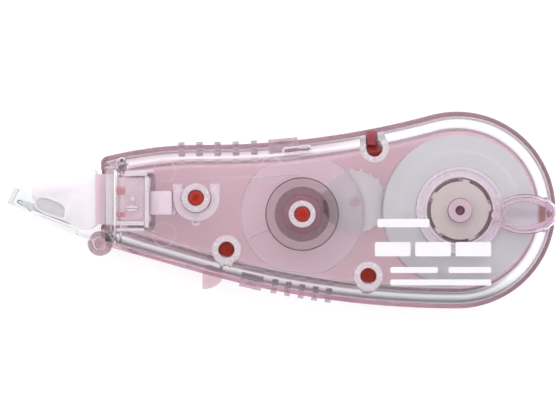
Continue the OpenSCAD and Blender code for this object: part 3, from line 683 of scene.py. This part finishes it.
def supply_post(bm):
    top = REEL_TOP + 1.2
    add_lathe(bm, [(SOCKET_R, SOCKET_Z), (SOCKET_R, top), (POST_R, top), (POST_R, BASE_Z),
                   (0.001, BASE_Z), (0.001, SOCKET_Z)], SUPPLY, 72, 0.12)


def latch(bm):
    """Latch post beside the upper pin."""
    x = (LATCH_X - LATCH_W / 2, LATCH_X + LATCH_W / 2)
    add_box(bm, x, (PINS[1][1] + 0.6, upper_y(LATCH_X) - 0.4), (BASE_Z, CASE_T - 1.4), 0.2)


def slope_at(edge, x, reach=1):
    return math.degrees(math.atan2(edge(x + reach) - edge(x - reach), 2 * reach))


def front_trim(bm):
    """Grip ribs along both edges, and the front half of the hinge lug with its stub axle."""
    rib_h, proud = 3.0, 0.45
    z = (MID_Z + 0.3, MID_Z + 0.3 + rib_h)
    root = GAP - FRONT_INSET
    upper = [(-16.7 + 3.07 * i, 1.1) for i in range(5)] + [(0.5, 5.0)]
    lower = [(-5.0, 3.8)] + [(-1.1 + 2.3 * i, 1.0) for i in range(5)]
    for edge, ribs, y in ((upper_y, upper, (root, proud)), (lower_y, lower, (-proud, -root))):
        for x, length in ribs:
            add_box(bm, (-length / 2, length / 2), y, z, 0.1, slope_at(edge, x), (x, edge(x)))
    add_rod(bm, LUG_R, MID_Z + 0.02, MID_Z + LUG_H, CAP, 0.15)
    add_rod(bm, STUB_R, MID_Z + LUG_H - 0.05, MID_Z + CAP_W / 2, CAP, 0.12)


def rim_highlight_loop(bm):
    """Raised long loop on the rounded upper edge, its milky white a painted highlight."""
    x, half_l = 2.9, 1.9
    at = (x, upper_y(x) - 1.75)
    slope = slope_at(upper_y, x, 2)
    z0, z1 = CASE_T - 2.0, CASE_T - 0.35
    rings = []
    for r, z in ((0.62, z0), (0.62, z1 - 0.1), (0.54, z1), (0.38, z1), (0.3, z1 - 0.1), (0.3, z0)):
        ends = arc((-half_l, 0), r, 90, 270, 10) + arc((half_l, 0), r, 270, 450, 10)
        rings.append(at_z(turned(ends, slope, at), z))
    add_skin(bm, rings, closed=True)


def mould_rings(bm):
    for centre, r in (((-19.5, 6.5), 1.85), ((-19.5, -4.1), 1.95), ((-1.4, 6.7), 2.1), ((11.6, 3.1), 1.3),
                      ((11.6, 3.1), 0.4)):
        add_tube(bm, r + 0.04, r - 0.04, INNER_TOP - 0.1, UNDER_Z, centre, 0.02)


def bosses(bm):
    for i, p in enumerate(PINS):
        foot = MID_Z if i == 1 else MID_Z - 2.5
        add_tube(bm, BOSS_R, PIN_BORE, foot, UNDER_Z, p, 0.18)
    add_tube(bm, BOSS_R, PIN_BORE, WALL + 1.6, UNDER_Z, HEAD, 0.18)
    add_tube(bm, BOSS_R - 0.15, PIN_BORE, GEAR_TOP + 0.3, UNDER_Z, TAKE_UP, 0.18)
    for p in (PINS[0], PINS[2]):
        for s in (-0.75, 0.75):
            low = lower_y(p[0]) + FRONT_INSET + WALL + 0.4
            add_box(bm, (p[0] + s - 0.25, p[0] + s + 0.25), (low, p[1] - BOSS_R + 0.3),
                    (REEL_TOP, UNDER_Z), 0.1)


def wall_ring(bm, outer, inner, z0, z1, soft=0.15):
    """A wall between two outlines of as many points, its four edges eased."""
    eased_out, eased_in = moved_in(outer, LEAF_AT, soft), moved_in(inner, LEAF_AT, -soft)
    add_skin(bm, [at_z(outer, z0 + soft), at_z(outer, z1 - soft), at_z(eased_out, z1),
                  at_z(eased_in, z1), at_z(inner, z1 - soft), at_z(inner, z0 + soft),
                  at_z(eased_in, z0), at_z(eased_out, z0)], closed=True)


def gauge(bm):
    """Rim of the gauge window, with a groove along its middle and a knob towards the core."""
    z0, z1 = REEL_TOP + 0.4, CASE_T - 0.6
    rings = [leaf(d) for d in (0.02, LEAF_RIM / 2 - 0.06, LEAF_RIM / 2, LEAF_RIM)]
    wall_ring(bm, rings[0], rings[1], z0, z1)
    wall_ring(bm, rings[2], rings[3], z0, z1 - 0.1)
    add_rod(bm, 0.8, z0, UNDER_Z, (36.5, -0.9), 0.15, 40)


def moved_in(ring, centre, by):
    """A ring of points moved towards its centre by about that much."""
    out = []
    for x, y in ring:
        d = (centre[0] - x, centre[1] - y)
        length = math.hypot(*d)
        out.append((x + d[0] / length * by, y + d[1] / length * by))
    return out


make("rear_trim", rear_trim, pink, "case", "pink_clear")
make("case_pins", case_pins, pin_red, "case", "pink_clear")
make("latch_post", latch, latch_red, "case", "pink_clear")
make("gauge_stop", lambda bm: add_box(bm, (43.4, 45.1), (-2.1, 0.8), (BASE_Z, REEL_Z - 0.3), 0.2),
     stop_salmon, "case", "pink_clear")
make("idler_pin", lambda bm: add_rod(bm, 0.85, BASE_Z, WALL + 2.3, IDLER, 0.12), pink,
     "case", "pink_clear")
make("supply_post", supply_post, post_pink, "case", "pink_clear")
make("post_bottom", lambda bm: add_rod(bm, SOCKET_R - 0.04, SOCKET_Z + 0.05, REEL_TOP - 0.3, SUPPLY, 0.1),
     sleeve_mauve, "case", "pink_clear")
make("front_trim", front_trim, trim_clear, "case", "clear")
boss_rings = built("boss_rings", bosses)
carve(boss_rings, latch_slot)
# The bosses' whitish colour is partly a painted reflection
place(boss_rings, milky_and_painted_reflection, "case", "clear")
make("mould_rings", mould_rings, edge_milky, "case", "clear")
# The loop's milky white is a painted highlight on the rounded edge
make("rim_highlight_loop", rim_highlight_loop, milky_and_painted_reflection, "case", "clear")
make("gauge_rim", gauge, rib_milky, "case", "clear")
make("gauge_pane", lambda bm: add_prism(
    bm, leaf(LEAF_RIM + 0.03), INNER_TOP - 0.6, INNER_TOP + 0.2, 0.08), trim_clear, "case", "clear")


def print_marks(bm):
    """Plain bars and blocks printed on the inside of the front."""
    z0, z1 = INNER_TOP - 0.05, INNER_TOP - 0.02
    bars = [((16.0 + 6.8 * i, 22.0 + 6.8 * i), (-7.8, -5.4)) for i in range(3)]
    bars += [((16.4, 25.2), (-2.9, -1.5)), ((18.6, 26.6), (-10.6, -9.6)), ((28.4, 35.6), (-10.6, -9.6)),
             ((18.6, 35.6), (-12.7, -11.7))]
    for x, y in bars:
        add_prism(bm, soften(box_points(x, y), 0.3), z0, z1, 0)


make("print_marks", print_marks, ink, "case", "clear")


def cage(bm):
    """Cage behind the mouth: a thin floor between two walls."""
    x, y = (-26.2, -21.3), (-3.55, 6.95)
    top = INNER_TOP - 0.8
    low = MID_Z - TAPE_W / 2 - 0.3
    add_box(bm, x, (y[0] + 0.75, y[1] - 0.75), (WALL + 0.05, WALL + 0.6), 0.12)
    add_box(bm, x, (y[1] - 0.7, y[1]), (BASE_Z, top), 0.2)
    add_box(bm, x, (y[0], y[0] + 0.7), (BASE_Z, low), 0.2)


make("cage", cage, cage_mat, "case", "cage_clear", "head_cage")


def guard(bm):
    """Small slot box and ribs of the front shell round the head's block."""
    z = (REEL_TOP + 0.4, UNDER_Z)
    add_box(bm, (-29.3, -27.8), (6.95, 7.35), z, 0.1)
    add_box(bm, (-27.7, -27.3), (6.95, 8.3), z, 0.1)
    add_tube(bm, 0.65, 0.3, REEL_TOP, UNDER_Z, (-26.7, 8.3), 0.08, 40)
    add_box(bm, (-28.0, -27.7), (-5.6, -2.7), z, 0.08)
    add_box(bm, (-26.95, -26.65), (-5.0, -3.7), z, 0.08)


# The guard's whitish colour is partly a painted reflection
make("mouth_guard", guard, milky_and_painted_reflection, "case", "clear")


FRAME_X, NOTCH_X = (-27.6, -22.9), (-27.6, -26.2)


def head_frame(bm):
    """Frame over the root of the head: bars round a thin plate, a button and a lens-shaped pad."""
    z1 = UNDER_Z
    for x, y in (((-26.2, -22.4), (5.7, 6.55)), ((-22.85, -22.1), (-2.95, 5.65)),
                 (FRAME_X, (-2.6, -1.87)), (FRAME_X, (-3.6, -3.06))):
        add_box(bm, x, y, (z1 - 0.8, z1), 0.12)
    add_box(bm, (-25.2, -24.4), (1.45, 2.25), (z1 - 0.45, z1), 0.15)
    lens = arc((-25.0, -0.95), 1.7, 45, 135, 14) + arc((-25.0, 1.49), 1.7, 225, 315, 14)
    add_prism(bm, lens, z1 - 0.5, z1, 0.1)


make("head_frame", head_frame, cage_mat, "case", "clear")
make("head_plate", lambda bm: add_box(
    bm, FRAME_X, (-1.8, 5.5), (INNER_TOP - 0.75, INNER_TOP - 0.55), 0.06), film_pink, "case", "clear")


def notches(bm):
    """Two rose patches at the frame's mouth side."""
    z = (INNER_TOP - 0.5, UNDER_Z)
    add_box(bm, NOTCH_X, (2.65, 3.85), z, 0.15)
    add_box(bm, NOTCH_X, (-1.15, -0.4), z, 0.12)


make("head_notches", notches, notch_rose, "case", "clear")

# ---- tape runs ----

FEED_Y, RETURN_Y = -1.55, 4.3
GUIDE_R = BOSS_R + TAPE_T / 2 + 0.05
PACK_TAPE_R = PACK_R + TAPE_T / 2 + 0.05
SPENT_R = 6.6 + TAPE_T / 2 + 0.05


def bearing(a, b):
    return math.degrees(math.atan2(b[1] - a[1], b[0] - a[0]))


def swing(a, b, r):
    """Turn from the line a-b to a tangent at distance r from b."""
    return math.degrees(math.asin(r / math.dist(a, b)))


feed_slot, return_slot = (BLOCK_X[1] + 0.25, FEED_Y), (BLOCK_X[1] + 0.25, RETURN_Y)
left_a = bearing(feed_slot, PINS[0]) - swing(feed_slot, PINS[0], GUIDE_R)
between_a = bearing(PINS[0], PINS[2])
right_a = bearing(PINS[2], SUPPLY) - swing(PINS[2], SUPPLY, PACK_TAPE_R - GUIDE_R)
feed_path = ([feed_slot] + arc(PINS[0], GUIDE_R, left_a - 90, between_a - 90, 8)
             + arc(PINS[2], GUIDE_R, between_a - 90, right_a - 90, 8)
             + [polar(PACK_TAPE_R, right_a - 90, SUPPLY)])
spent_a = bearing(return_slot, TAKE_UP) + swing(return_slot, TAKE_UP, SPENT_R)
return_path = [return_slot, polar(SPENT_R, 90 + spent_a, TAKE_UP)]
make("feed_run", lambda bm: add_ribbon(bm, feed_path), tape_face, "case", "tape_white", "feed_tape")
make("return_run", lambda bm: add_ribbon(bm, return_path), backing, "case", "backing", "return_tape")

# ---- head ----

NOZZLE = ([(BLOCK_X[1], BLOCK_Y[0]), (BLOCK_X[1], BLOCK_Y[1]), (BLOCK_X[0], BLOCK_Y[1])]
          + arc((BLOCK_X[0] - 2.4, BLOCK_Y[1] + 0.75), 2.1, 0, -88, 10)
          + [(-42.0, 4.45), (-42.05, 1.95), (-41.3, 0.25), (-39.8, -0.75), (-36.5, -1.8), (-35.2, -2.6)]
          + arc((-32.9, -1.3), 2.1, 240, 300, 8) + [(BLOCK_X[0], BLOCK_Y[0])])
NOZZLE_W = 6.6
CHEEK_GAP = TAPE_W + 0.8


def nozzle_plan(bm):
    """Plan shape that narrows the nozzle from the block to its tip."""
    w, t = BLOCK_W / 2, NOZZLE_W / 2
    x = BLOCK_X
    half = [(x[1] + 1, w), (x[0] - 0.2, w), (x[0] - 1.2, w - 0.35), (x[0] - 2.4, w - 0.6),
            (-38, t), (-44, t)]
    ring = [(a, MID_Z + b) for a, b in half] + [(a, MID_Z - b) for a, b in half[::-1]]
    add_skin(bm, [[(a, y, z) for a, z in ring] for y in (-12, 12)])


def nozzle_openings(bm):
    z = (MID_Z - CHEEK_GAP / 2, MID_Z + CHEEK_GAP / 2)
    side = [(-43, -3.7), (-33.6, -3.7), (-33.6, -0.7), (-36.6, -0.7), (-36.6, 3.3), (-43, 3.3)]
    add_prism(bm, side, *z, 0)


def nozzle_hollow(bm):
    """Room inside for the tape's two runs, out through the back of the block."""
    z = (MID_Z - TAPE_W / 2 - 0.25, MID_Z + TAPE_W / 2 + 0.25)
    side = [(-36.9, -1.9), (-34.0, -2.1), (-28.3, -1.9), (-28.3, 5.3), (-32.5, 5.0), (-36.9, 3.6)]
    add_prism(bm, side, *z, 0)


def nozzle_slots(bm):
    z = (MID_Z - TAPE_W / 2 - 0.3, MID_Z + TAPE_W / 2 + 0.3)
    for y in ((-2.0, -1.1), (3.6, 5.0)):
        add_box(bm, (BLOCK_X[1] - 2, BLOCK_X[1] + 1), y, z, 0)


WINDOW = [(-41.2, 0.5), (-40.0, -0.35), (-36.6, -1.45), (-36.3, 0.1), (-36.9, 0.95), (-37.8, 1.35),
          (-39.3, 1.95), (-40.6, 2.05), (-41.3, 1.6)]


def window_cut(bm):
    """Recess in both cheeks."""
    for z in ((MID_Z + NOZZLE_W / 2 - 0.35, MID_Z + 6), (MID_Z - 6, MID_Z - NOZZLE_W / 2 + 0.35)):
        add_prism(bm, soften(WINDOW, 0.5), z[0], z[1], 0)


nozzle = built("nozzle", lambda bm: add_prism(bm, NOZZLE, MID_Z - BLOCK_W / 2, MID_Z + BLOCK_W / 2, 0))
carve(nozzle, nozzle_plan, "INTERSECT")
for opening in (nozzle_openings, nozzle_hollow, nozzle_slots, window_cut):
    carve(nozzle, opening)
rounded(nozzle, 0.22)
place(nozzle, nozzle_white, "head", "head_white", "head_nozzle")


def block_band(bm):
    """Pink band on the upper face of the nozzle's block."""
    face = MID_Z + BLOCK_W / 2
    add_box(bm, (BLOCK_X[0] - 0.1, BLOCK_X[0] + 1.4), (BLOCK_Y[0] + 0.05, BLOCK_Y[1] - 0.05),
            (face + 0.02, face + 0.12), 0.04)


make("block_band", block_band, band_pink, "head", "head_white")

RAIL_X = (BLOCK_X[1], -21.9)
STEM_Y = (-0.85, 3.2)
CRADLE_R, CRADLE_OPEN = 4.0, 35       # the open ring round the pivot; its arms rise 35 degrees past level


def stem(bm):
    """Side frames with their windows, the stem and the open cradle round the pivot boss."""
    for z in ((MID_Z - 3.85, MID_Z - 2.85), (MID_Z + 2.85, MID_Z + 3.85)):
        add_box(bm, RAIL_X, (3.75, 5.45), z, 0.15)
        add_box(bm, RAIL_X, (-2.05, -0.65), z, 0.15)
        add_box(bm, (RAIL_X[1] - 0.8, RAIL_X[1]), (-1.0, 4.0), z, 0.12)
        add_box(bm, (-25.6, -24.3), (-0.75, 3.8), z, 0.12)
        add_box(bm, (RAIL_X[0], -26.6), (0.6, 2.6), z, 0.12)
    add_box(bm, (RAIL_X[1] - 0.8, RAIL_X[1] + 3.6), STEM_Y, (MID_Z - 3.85, MID_Z + 3.85), 0.2)
    add_box(bm, (RAIL_X[1] + 3, -17.6), (STEM_Y[0], STEM_Y[1] - 0.4), TAPE_Z, 0.15)
    start, end = 180 - CRADLE_OPEN, 360 + CRADLE_OPEN
    cradle = arc(HEAD, CRADLE_R, start, end, 24) + arc(HEAD, BOSS_R + 0.09, end, start, 24)
    add_prism(bm, cradle, MID_Z - 3, MID_Z + 3, 0.18)
    for s in (-1, 1):
        x = HEAD[0] + s * 3.15
        add_box(bm, (x - 0.85, x + 0.85), (HEAD[1] - 0.2, HEAD[1] + 2.35), TAPE_Z, 0.15)
    foot = (HEAD[0], HEAD[1] - CRADLE_R)
    add_tube(bm, 0.8, 0.3, MID_Z - 2.5, MID_Z + 2.5, foot, 0.1, 40)


make("stem", stem, stem_white, "head", "stem_milky", "head_stem")

TURN = BLADE_A - 180


def blade(bm):
    w = TAPE_W / 2 + 0.15
    length = 9.6
    side = [(0.12, -0.16), (0.12, 0.16), (1.6, 0.4), (length, 0.65), (length, -0.3), (1.6, -0.3)]
    add_prism(bm, turned(side, TURN, TIP), MID_Z - w, MID_Z + w, 0.04)
    root = box_points((length - 1.3, length), (-0.15, 0.45))
    add_prism(bm, turned(root, TURN, TIP), MID_Z - CHEEK_GAP / 2, MID_Z + CHEEK_GAP / 2, 0.04)
    fence = [(1.0, -0.4), (1.0, 0.6), (3.0, 0.75), (length, 0.8), (length, -0.45), (3.0, -0.45)]
    for s in (-1, 1):
        z = MID_Z + s * (TAPE_W / 2 + 0.16)
        add_prism(bm, turned(soften(fence, 0.2), TURN, TIP), z - 0.1, z + 0.1, 0.03)


make("blade", blade, blade_white, "head", "blade_white", "applicator_blade")


def tip_loop():
    gap = 0.08 + TAPE_T / 2
    local = ([(9.8, -0.3 - gap), (1.6, -0.3 - gap)] + arc((0.15, 0), 0.16 + gap, 265, 95, 10)
             + [(1.6, 0.42 + gap), (8.6, 0.7 + gap)])
    return ([(BLOCK_X[1] - 0.1, FEED_Y)] + turned(local, TURN, TIP)
            + [(BLOCK_X[1] - 0.1, RETURN_Y)])


make("tip_run", lambda bm: add_ribbon(bm, tip_loop()), tape_face, "head", "tape_white", "tip_tape")

# ---- cap ----

FLOOR = (-0.75, 0.15)
CUP = (5.2, 3.7)                      # length and depth
CUP_END = CAP_LEN - 0.12              # a little inside the CAD piece


def cap_cheek():
    """Side shape of the cap round the hinge: disc, arm and cup, in one outline."""
    back = CAP_LEN - CUP[0]
    disc_r = 2.1
    low = math.degrees(math.asin(FLOOR[1] / disc_r))
    high = math.degrees(math.asin(-FLOOR[0] / disc_r))
    ring = arc((0, 0), disc_r, low, 360 - high, 48)
    cup = soften([(back, FLOOR[0]), (back, -CUP[1] + 0.1), (CUP_END, -CUP[1]), (CUP_END, FLOOR[1])], 0.7, 5)
    return ring + cup[1:]


def cap_sides(bm):
    for z in ((MID_Z - CAP_W / 2, MID_Z - CAP_W / 2 + CAP_WALL),
              (MID_Z + CAP_W / 2 - CAP_WALL, MID_Z + CAP_W / 2)):
        add_prism(bm, turned(cap_cheek(), BLADE_A, CAP), z[0], z[1], 0)


def cap_floor(bm):
    w = CAP_W / 2 - CAP_WALL + 0.05
    pts = [(4.6, FLOOR[1]), (4.6, FLOOR[0]), (CAP_LEN - 0.85, FLOOR[0]), (CAP_LEN - 0.85, -CUP[1] + 0.1),
           (CUP_END - 0.05, -CUP[1] + 0.05), (CUP_END - 0.02, -0.55), (CUP_END - 0.18, -0.1),
           (CAP_LEN - 0.75, FLOOR[1])]
    add_prism(bm, turned(pts, BLADE_A, CAP), MID_Z - w, MID_Z + w, 0)


def cap_bores(bm):
    add_rod(bm, 1.01, MID_Z - 8, MID_Z + 8, CAP, 0.01)


cap = built("tip_cover", cap_sides)
carve(cap, cap_floor, "UNION")
carve(cap, cap_bores)
rounded(cap, 0.1, 2)
place(cap, cap_clear, "cap", "cap_clear", "tip_cap")

# ---- gears ----

PRESSURE = 20.0
IDLER_BORE = 0.91
ADDENDUM, DEDENDUM = 0.8 * MODULE, 1.15 * MODULE


def involute(a):
    return math.degrees(math.tan(math.radians(a))) - a


def gear_outline(count, turn, centre):
    pitch = MODULE * count / 2
    base = pitch * math.cos(math.radians(PRESSURE))
    root, tip = pitch - DEDENDUM, pitch + ADDENDUM
    half = 90 / count - math.degrees(BACKLASH / 4 / pitch) + involute(PRESSURE)
    start = max(base, root)
    flank = []
    for i in range(5):
        r = start + (tip - start) * i / 4
        flank.append((r, half - involute(math.degrees(math.acos(min(1, base / r))))))
    if root < base:
        flank = [(root, flank[0][1])] + flank
    out = []
    for k in range(count):
        a = turn + 360 * k / count
        out += [polar(r, a - b, centre) for r, b in flank]
        out += [polar(r, a + b, centre) for r, b in flank[::-1]]
    return out


def mesh_turn(turn, count_a, count_b, direction):
    return direction + 180 + 180 / count_b - (turn - direction) * count_a / count_b


IDLER_TURN = mesh_turn(0, TEETH[0], TEETH[1], bearing(SUPPLY, IDLER))
PINION_TURN = mesh_turn(IDLER_TURN, TEETH[1], TEETH[2], bearing(IDLER, TAKE_UP))


def add_gear(bm, count, turn, centre, bore):
    """A toothed wheel: teeth with rounded tips' edges and a bored web."""
    teeth = gear_outline(count, turn, centre)
    inner = [polar(bore, bearing(centre, p), centre) for p in teeth]
    chamfer = 0.08

    def ring(points, z, by):
        return [(*polar(math.dist(centre, p) - by, bearing(centre, p), centre), z) for p in points]

    z0, z1 = GEAR_Z, GEAR_TOP
    add_skin(bm, [ring(teeth, z0, chamfer), ring(teeth, z0 + chamfer, 0), ring(teeth, z1 - chamfer, 0),
                  ring(teeth, z1, chamfer), ring(inner, z1, -chamfer), ring(inner, z1 - chamfer, 0),
                  ring(inner, z0 + chamfer, 0), ring(inner, z0, -chamfer)], closed=True)


def drive_gear(bm):
    add_gear(bm, TEETH[0], 0, SUPPLY, POST_BORE)
    add_tube(bm, SLEEVE_R, POST_BORE, GEAR_TOP, REEL_TOP - 0.6, SUPPLY)
    add_tube(bm, SLEEVE_R + 1.2, SLEEVE_R, GEAR_TOP, GEAR_TOP + 0.7, SUPPLY)


place(built("drive_wheel", drive_gear, GEAR_SMOOTH_A), gear_clear, "drive", "gear_milky", "drive_gear")


def spring(bm):
    """Sprung arms: five curved shoes on short spokes."""
    z = (REEL_TOP - 1.4, REEL_TOP - 0.6)
    add_tube(bm, SLEEVE_R + 0.8, SLEEVE_R + 0.02, *z, SUPPLY)
    for k in range(5):
        a = 20 + 72 * k
        shoe = arc(SUPPLY, CLUTCH_R - 0.12, a, a + 50, 12) + arc(SUPPLY, CLUTCH_R - 0.62, a + 50, a, 12)
        add_prism(bm, shoe, *z, 0.08)
        add_box(bm, (SLEEVE_R + 0.6, CLUTCH_R - 0.45), (-0.35, 0.35), z, 0.08, a + 24, SUPPLY)


make("clutch_arms", spring, spring_grey, "drive", "spring_grey", "clutch_spring")


def plate_outline(steps=20):
    """Round plate with five small lugs."""
    pts = []
    for k in range(5):
        a = 72 * k + 6
        half = math.degrees(math.asin(0.55 / 5.35))
        pts += arc(SUPPLY, 5.35, a - half, a + half, 4)
        pts += arc(SUPPLY, 4.95, a + half + 1, a + 72 - half - 1, steps)
    return pts


def plate(bm):
    outer = plate_outline()
    bore = [polar(POST_R + 0.08, bearing(SUPPLY, p), SUPPLY) for p in outer]
    z0, z1 = REEL_TOP - 0.55, REEL_TOP - 0.05
    ease = 0.08
    add_skin(bm, [at_z(outer, z0), at_z(outer, z1 - ease), at_z(moved_in(outer, SUPPLY, ease), z1),
                  at_z(bore, z1), at_z(bore, z0)], closed=True)


make("clutch_disc", plate, plate_beige, "drive", "plate_beige", "clutch_plate")

# ---- reels ----

def core(bm):
    """Core ring with a shallow step in its upper face."""
    z0, z1 = REEL_Z + 0.5, REEL_TOP
    add_lathe(bm, [(CLUTCH_R + 0.05, z0), (CORE_R, z0), (CORE_R, z1), (CORE_R - 0.45, z1),
                   (CORE_R - 0.6, z1 - 0.25), (CLUTCH_R + 0.55, z1 - 0.25), (CLUTCH_R + 0.4, z1),
                   (CLUTCH_R + 0.05, z1)], SUPPLY, 128, 0.1)


make("core_ring", core, core_milky, "spool", "core_milky", "supply_core")
make("pack_flange", lambda bm: add_tube(
    bm, PACK_R + 0.3, CLUTCH_R + 0.05, REEL_Z, REEL_Z + FLANGE_T, SUPPLY, 0.1, 144), flange_clear,
     "spool", "flange_clear", "supply_flange")
make("tape_pack", lambda bm: add_tube(bm, PACK_R, CORE_R + 0.02, *TAPE_Z, SUPPLY, 0.05, 160), pack_side,
     "spool", "tape_white", "supply_tape")


def idler(bm):
    add_gear(bm, TEETH[1], IDLER_TURN, IDLER, IDLER_BORE)
    add_tube(bm, MODULE * TEETH[1] / 2 + 0.1, IDLER_BORE, GEAR_TOP + 0.02, GEAR_TOP + 0.3, IDLER, 0.08)


place(built("idler_wheel", idler, GEAR_SMOOTH_A), idler_white, "idler", "idler_white", "idler_gear")
pinion = built("pinion", lambda bm: add_gear(bm, TEETH[2], PINION_TURN, TAKE_UP, PIN_BORE), GEAR_SMOOTH_A)
place(pinion, gear_clear, "take_up", "gear_milky", "take_up_pinion")


def hub(bm):
    add_tube(bm, HUB_R[1], HUB_R[0], REEL_Z, REEL_TOP, TAKE_UP, 0.12)
    add_tube(bm, HUB_R[0], SLEEVE_R, REEL_Z, REEL_Z + HUB_WEB_T, TAKE_UP, 0.1)


make("take_up_core", hub, hub_grey, "take_up", "hub_clear", "take_up_hub")
make("take_up_sleeve", lambda bm: add_tube(
    bm, SLEEVE_R, BOSS_R - 0.09, REEL_Z + HUB_WEB_T + 0.02, REEL_TOP - 0.3, TAKE_UP, 0.1), sleeve_mauve,
     "take_up", "hub_clear")


def disc(bm):
    """Clear flange with the slit that catches the backing."""
    z0, z1 = REEL_Z, REEL_Z + FLANGE_T
    soft = 0.1
    levels = ((DISC_R - soft, z0), (DISC_R, z0 + soft), (DISC_R, z1 - soft), (DISC_R - soft, z1),
              (HUB_R[1] + 0.02, z1), (HUB_R[1] + 0.02, z0))
    add_skin(bm, [circle(r, z, TAKE_UP, 144) for r, z in levels], closed=True)


def slit(bm):
    add_box(bm, (HUB_R[1] + 0.3, DISC_R - 0.9), (-0.07, 0.07), (REEL_Z - 1, REEL_Z + 2), 0, SLIT_A, TAKE_UP)


flange = built("take_up_disc", disc)
carve(flange, slit)
place(flange, disc_clear, "take_up", "disc_clear", "take_up_flange")


def disc_marks(bm):
    z = REEL_Z + 0.5
    add_tube(bm, DISC_R - 0.02, DISC_R - 0.22, z, z + 0.1, TAKE_UP, 0.03, 144)
    add_box(bm, (HUB_R[1] + 0.2, DISC_R - 0.2), (-0.06, 0.06), (z, z + 0.08), 0, SLIT_A, TAKE_UP)


make("disc_edge", disc_marks, edge_milky, "take_up", "disc_clear")
make("first_turns", lambda bm: add_tube(bm, 6.25, HUB_R[1] + 0.01, *TAPE_Z, TAKE_UP, 0.04, 128),
     spent_side, "take_up", "backing", "spent_tape")

# ---- floor, light and camera ----

VIEW_W = 95.2 * MM
CAMERA_UP, SENSOR = 0.75, 36          # metres, and the usual sensor width
STUDIO = 1.26                         # strength of the light tent
TABLE_LIGHT = 0.6                     # glow of the light table under the roller
GLOW_FADE = (0.09, 0.45)              # metres from the middle where the glow starts and ends its fade
FLOOR_HALF, FLOOR_Z = 3000, -0.03


def floor_sheet(bm):
    side = (-FLOOR_HALF, FLOOR_HALF)
    bm.faces.new([bm.verts.new(p) for p in at_z(box_points(side, side), FLOOR_Z)])


def floor():
    """Pale paper, lit from below near the roller."""
    obj = built("floor", floor_sheet)
    mat, tree, shader = new_material("floor_paper")
    coord = object_coord(tree)
    grain = blend(tree, noise(tree, coord, 60), (0.97, 0.97, 0.975), (0.95, 0.95, 0.96))
    away = add_node(tree, "VectorMath", {0: coord}, operation="LENGTH").outputs["Value"]
    fade = ranged(tree, away, *GLOW_FADE, 0, 1)
    feed(tree, shader, {"Emission Color": blend(tree, fade, grain, (0.62, 0.62, 0.64)),
                        "Base Color": blend(tree, fade, (0.60, 0.60, 0.605), (0.45, 0.45, 0.46)),
                        "Emission Strength": TABLE_LIGHT, "Roughness": 0.9})
    obj.data.materials.append(mat)


def studio():
    """A white tent, dark round the camera and at the horizon, and brighter at the roller's upper side."""
    world = bpy.data.worlds.new("studio")
    bpy.context.scene.world = world
    world.use_nodes = True
    tree = world.node_tree
    coord = add_node(tree, "TexCoord", {}).outputs["Generated"]
    split = add_node(tree, "SeparateXYZ", {0: coord})
    tent = ramp(tree, split.outputs["Z"], ((0, (0.45, 0.45, 0.47)), (0.4, (1, 1, 1)),
                                           (0.955, (1, 1, 1)), (0.985, (0.05, 0.05, 0.05))))
    lit = ranged(tree, split.outputs["Y"], -0.8, 0.8, STUDIO * 0.6, STUDIO * 1.4, "LINEAR")
    feed(tree, tree.nodes["Background"], {"Color": tent, "Strength": lit})


def camera():
    data = bpy.data.cameras.new("camera")
    data.sensor_width = SENSOR
    data.lens = SENSOR * (CAMERA_UP - MID_Z * MM) / VIEW_W
    data.clip_end = 10
    obj = bpy.data.objects.new("camera", data)
    obj.location = (0, 0, CAMERA_UP)
    bpy.context.scene.collection.objects.link(obj)
    bpy.context.scene.camera = obj


floor()
studio()
camera()
scene = bpy.context.scene
scene.view_settings.view_transform = "Standard"
for kind, bounces in (("max", 40), ("transmission", 40), ("transparent_max", 32), ("glossy", 8),
                      ("diffuse", 4)):
    setattr(scene.cycles, kind + "_bounces", bounces)
